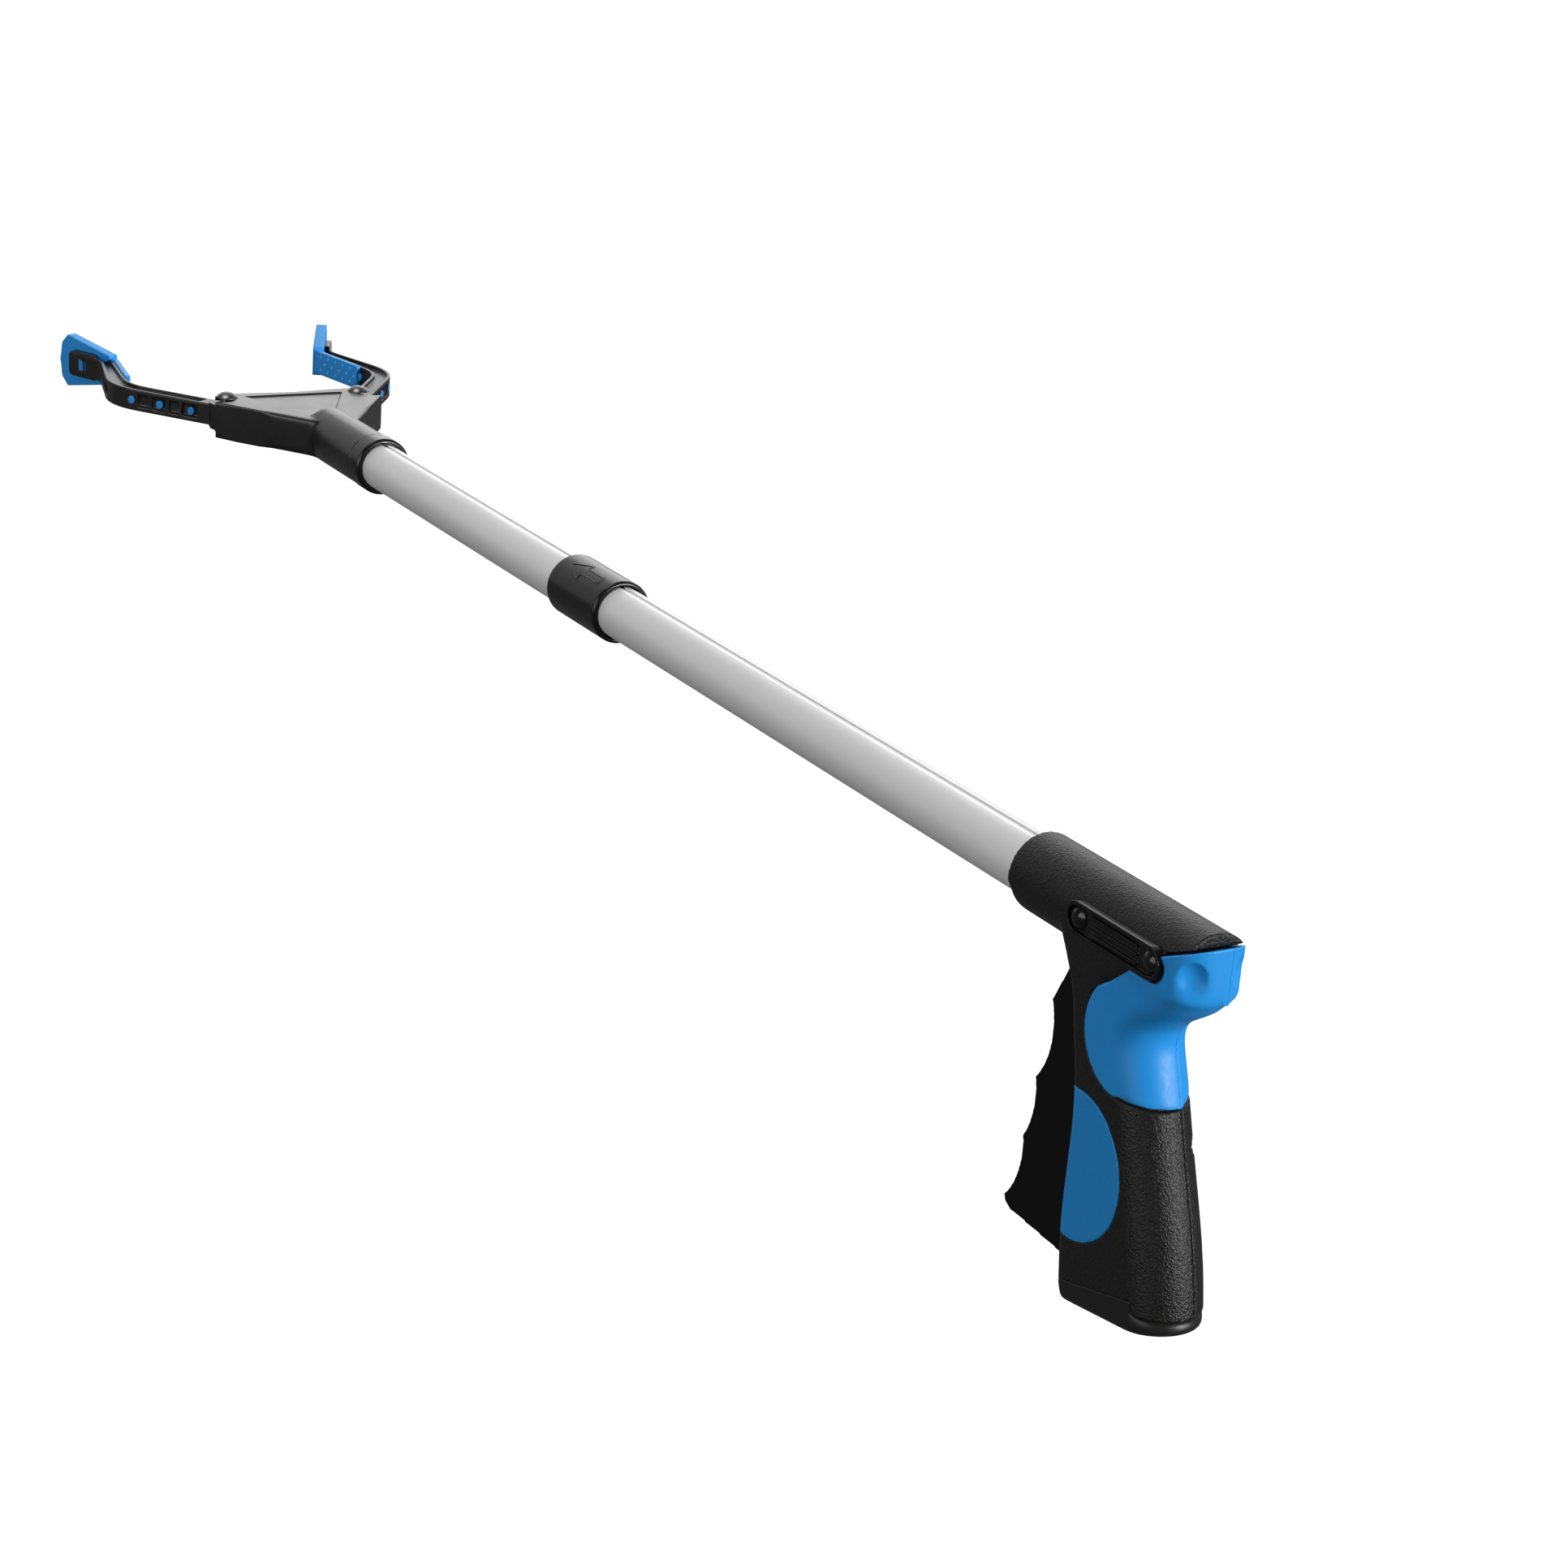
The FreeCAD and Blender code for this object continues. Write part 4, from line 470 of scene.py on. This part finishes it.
def dome_into(form, spot, normal, radius, rise):
    """Adds a low dome, sunk a little, to a bmesh."""
    turn = normal.to_track_quat("Z", "Y").to_matrix().to_4x4()
    place = Matrix.Translation(spot) @ turn @ Matrix.Diagonal((radius, radius, rise, 1))
    bmesh.ops.create_icosphere(form, subdivisions=3, radius=1, matrix=place)


def build_liner(side, way):
    """The blue liner and its raised grip dots, which sit on its inner face."""
    liner = soften(f"jaw_liner_{side}", 0.35, 6)
    surface = BVHTree.FromObject(liner, bpy.context.evaluated_depsgraph_get())
    form = bmesh.new()
    run = WRIST - ELBOW
    for height, count in DOT_ROWS:
        shift = 0.5 if count == 5 else 0
        for index in range(count):
            start = ELBOW + run * (DOT_START + (index + shift) * DOT_STEP)
            start = Vector((start.x, (start.y - 20 * MM) * way, height))
            spot, normal, _, _ = surface.ray_cast(start, Vector((0, way, 0)))
            if spot is not None:
                dome_into(form, spot, normal, DOT_RADIUS, DOT_RISE)
    mesh = bpy.data.meshes.new(f"liner_dots_{side}")
    form.to_mesh(mesh)
    form.free()
    liner_node = f"jaw_liner_{side}"
    show(f"liner_dots_{side}", mesh, BODIES[liner_node], SLOTS[liner_node], paint="liner_pale")


# ---------------------------------------------------------------- sleeve's arrow

def build_arrow():
    """A plain raised arrow outline on the sleeve's upper left, pointing to the jaws."""
    radius = SLEEVE_HIGH.z - 0.02 * MM
    middle = (SLEEVE_LOW.x + SLEEVE_HIGH.x) / 2
    corners = ((-12, -1.6), (1, -1.6), (1, -4.2), (12, 0), (1, 4.2), (1, 1.6), (-12, 1.6))
    steps = 6
    points = []
    for index, (x, around) in enumerate(corners):
        next_x, next_around = corners[(index + 1) % len(corners)]
        for step in range(steps):
            share = step / steps
            turn = math.radians(28) + (around + (next_around - around) * share) * MM / radius
            points.append((middle + (x + (next_x - x) * share) * MM,
                           math.sin(turn) * radius, math.cos(turn) * radius))
    curve = bpy.data.curves.new("sleeve_arrow_line", "CURVE")
    curve.dimensions = "3D"
    curve.bevel_depth = 0.28 * MM
    curve.bevel_resolution = 3
    spline = curve.splines.new("POLY")
    spline.points.add(len(points) - 1)
    for point, spot in zip(spline.points, points):
        point.co = (*spot, 1)
    spline.use_cyclic_u = True
    draft = bpy.data.objects.new("sleeve_arrow_draft", curve)
    bpy.context.scene.collection.objects.link(draft)
    mesh = applied(draft)
    bpy.data.objects.remove(draft)
    show("sleeve_arrow", mesh, BODIES["fold_sleeve"], SLOTS["fold_sleeve"])


# ---------------------------------------------------------------- stage, light and camera

# The studio: a white backdrop beyond the object, and a darker room on the viewer's side.
BACKDROP_WAY = (0.81, -0.49, -0.05)
BACKDROP_LIGHT = 1.0
ROOM_LIGHT = 0.1
# The floor lies well below the object. It looks white to the camera, but throws little light
# back up.
FLOOR_DROP = 0.35
FLOOR_REACH = 30
FLOOR_BOUNCE = (0.12, 0.12, 0.12)


def build_floor():
    mesh = bpy.data.meshes.new("floor")
    level = CAD_BOX[0][2] - FLOOR_DROP
    form = bmesh.new()
    corners = [form.verts.new((x * FLOOR_REACH, y * FLOOR_REACH, level))
               for x, y in ((-1, -1), (1, -1), (1, 1), (-1, 1))]
    form.faces.new(corners)
    form.to_mesh(mesh)
    form.free()
    floor = bpy.data.objects.new("floor", mesh)
    bpy.context.scene.collection.objects.link(floor)
    paint = Paint("floor_pale", FLOOR_BOUNCE, 0.9, specular=0.1)
    paint.tint(paint.ramp(paint.noise(0.8, 2), 0.3, 0.7, 0, 0.3), (0.1, 0.1, 0.1))
    mesh.materials.append(paint.done())
    lift = paint.add("ShaderNodeLightPath").outputs["Is Camera Ray"]
    paint.shader.inputs["Emission Color"].default_value = (1, 1, 1, 1)
    paint.link(lift, paint.shader.inputs["Emission Strength"])


def build_world():
    """White to the camera; to the object, bright beyond it and dim on the viewer's side."""
    world = bpy.data.worlds.new("studio")
    world.use_nodes = True
    tree = world.node_tree
    rays = tree.nodes.new("ShaderNodeLightPath")
    direction = tree.nodes.new("ShaderNodeTexCoord").outputs["Generated"]
    facing = tree.nodes.new("ShaderNodeVectorMath")
    facing.operation = "DOT_PRODUCT"
    tree.links.new(direction, facing.inputs[0])
    facing.inputs[1].default_value = BACKDROP_WAY
    level = tree.nodes.new("ShaderNodeMapRange")
    level.interpolation_type = "SMOOTHSTEP"
    for name, value in (("From Min", 0.1), ("From Max", 0.9), ("To Min", ROOM_LIGHT),
                        ("To Max", BACKDROP_LIGHT)):
        level.inputs[name].default_value = value
    tree.links.new(facing.outputs["Value"], level.inputs["Value"])
    shown = tree.nodes.new("ShaderNodeMix")
    tree.links.new(rays.outputs["Is Camera Ray"], shown.inputs["Factor"])
    tree.links.new(level.outputs[0], shown.inputs["A"])
    shown.inputs["B"].default_value = 1.0
    background = tree.nodes["Background"]
    background.inputs["Color"].default_value = (1, 1, 1, 1)
    tree.links.new(shown.outputs["Result"], background.inputs["Strength"])
    bpy.context.scene.world = world


def build_camera():
    """The viewing angle: from behind the handle's left, a little above."""
    data = bpy.data.cameras.new("camera")
    data.lens = 74.53
    data.sensor_width = 36
    data.clip_start, data.clip_end = 0.01, 100
    camera = bpy.data.objects.new("camera", data)
    bpy.context.scene.collection.objects.link(camera)
    right = Vector((-0.4931, -0.8670, 0.0723)).normalized()
    back = Vector((-0.8092, 0.4875, 0.3280)).normalized()
    up = back.cross(right).normalized()
    right = up.cross(back)
    turn = Matrix((right, up, back)).transposed().to_4x4()
    camera.matrix_world = Matrix.Translation((-0.7257, 0.5279, 0.3311)) @ turn
    bpy.context.scene.camera = camera


def soft_sun(name, way, angle, power):
    """A distant soft light that shines from the given side."""
    data = bpy.data.lights.new(name, "SUN")
    data.angle = math.radians(angle)
    data.energy = power
    lamp = bpy.data.objects.new(name, data)
    bpy.context.scene.collection.objects.link(lamp)
    lamp.rotation_euler = Vector(way).to_track_quat("Z", "Y").to_euler()


def build_lights():
    soft_sun("key", (-0.86, -0.48, 0.2), 24, 4.0)
    soft_sun("fill", (-0.15, 0.97, 0.12), 50, 1.6)
    soft_sun("top", (0.1, 0.2, 1), 30, 1.0)
    soft_sun("under", (0, 0.7, -0.7), 50, 1.2)
    soft_sun("glance", (0.81, -0.49, 0.33), 36, 0.32)


paint_frame()
build_handle_skins()
build_head_skins()
for side, way in (("left", 1), ("right", -1)):
    build_liner(side, way)
build_arrow()
build_floor()
build_world()
build_camera()
build_lights()
bpy.context.scene.view_settings.view_transform = "Standard"
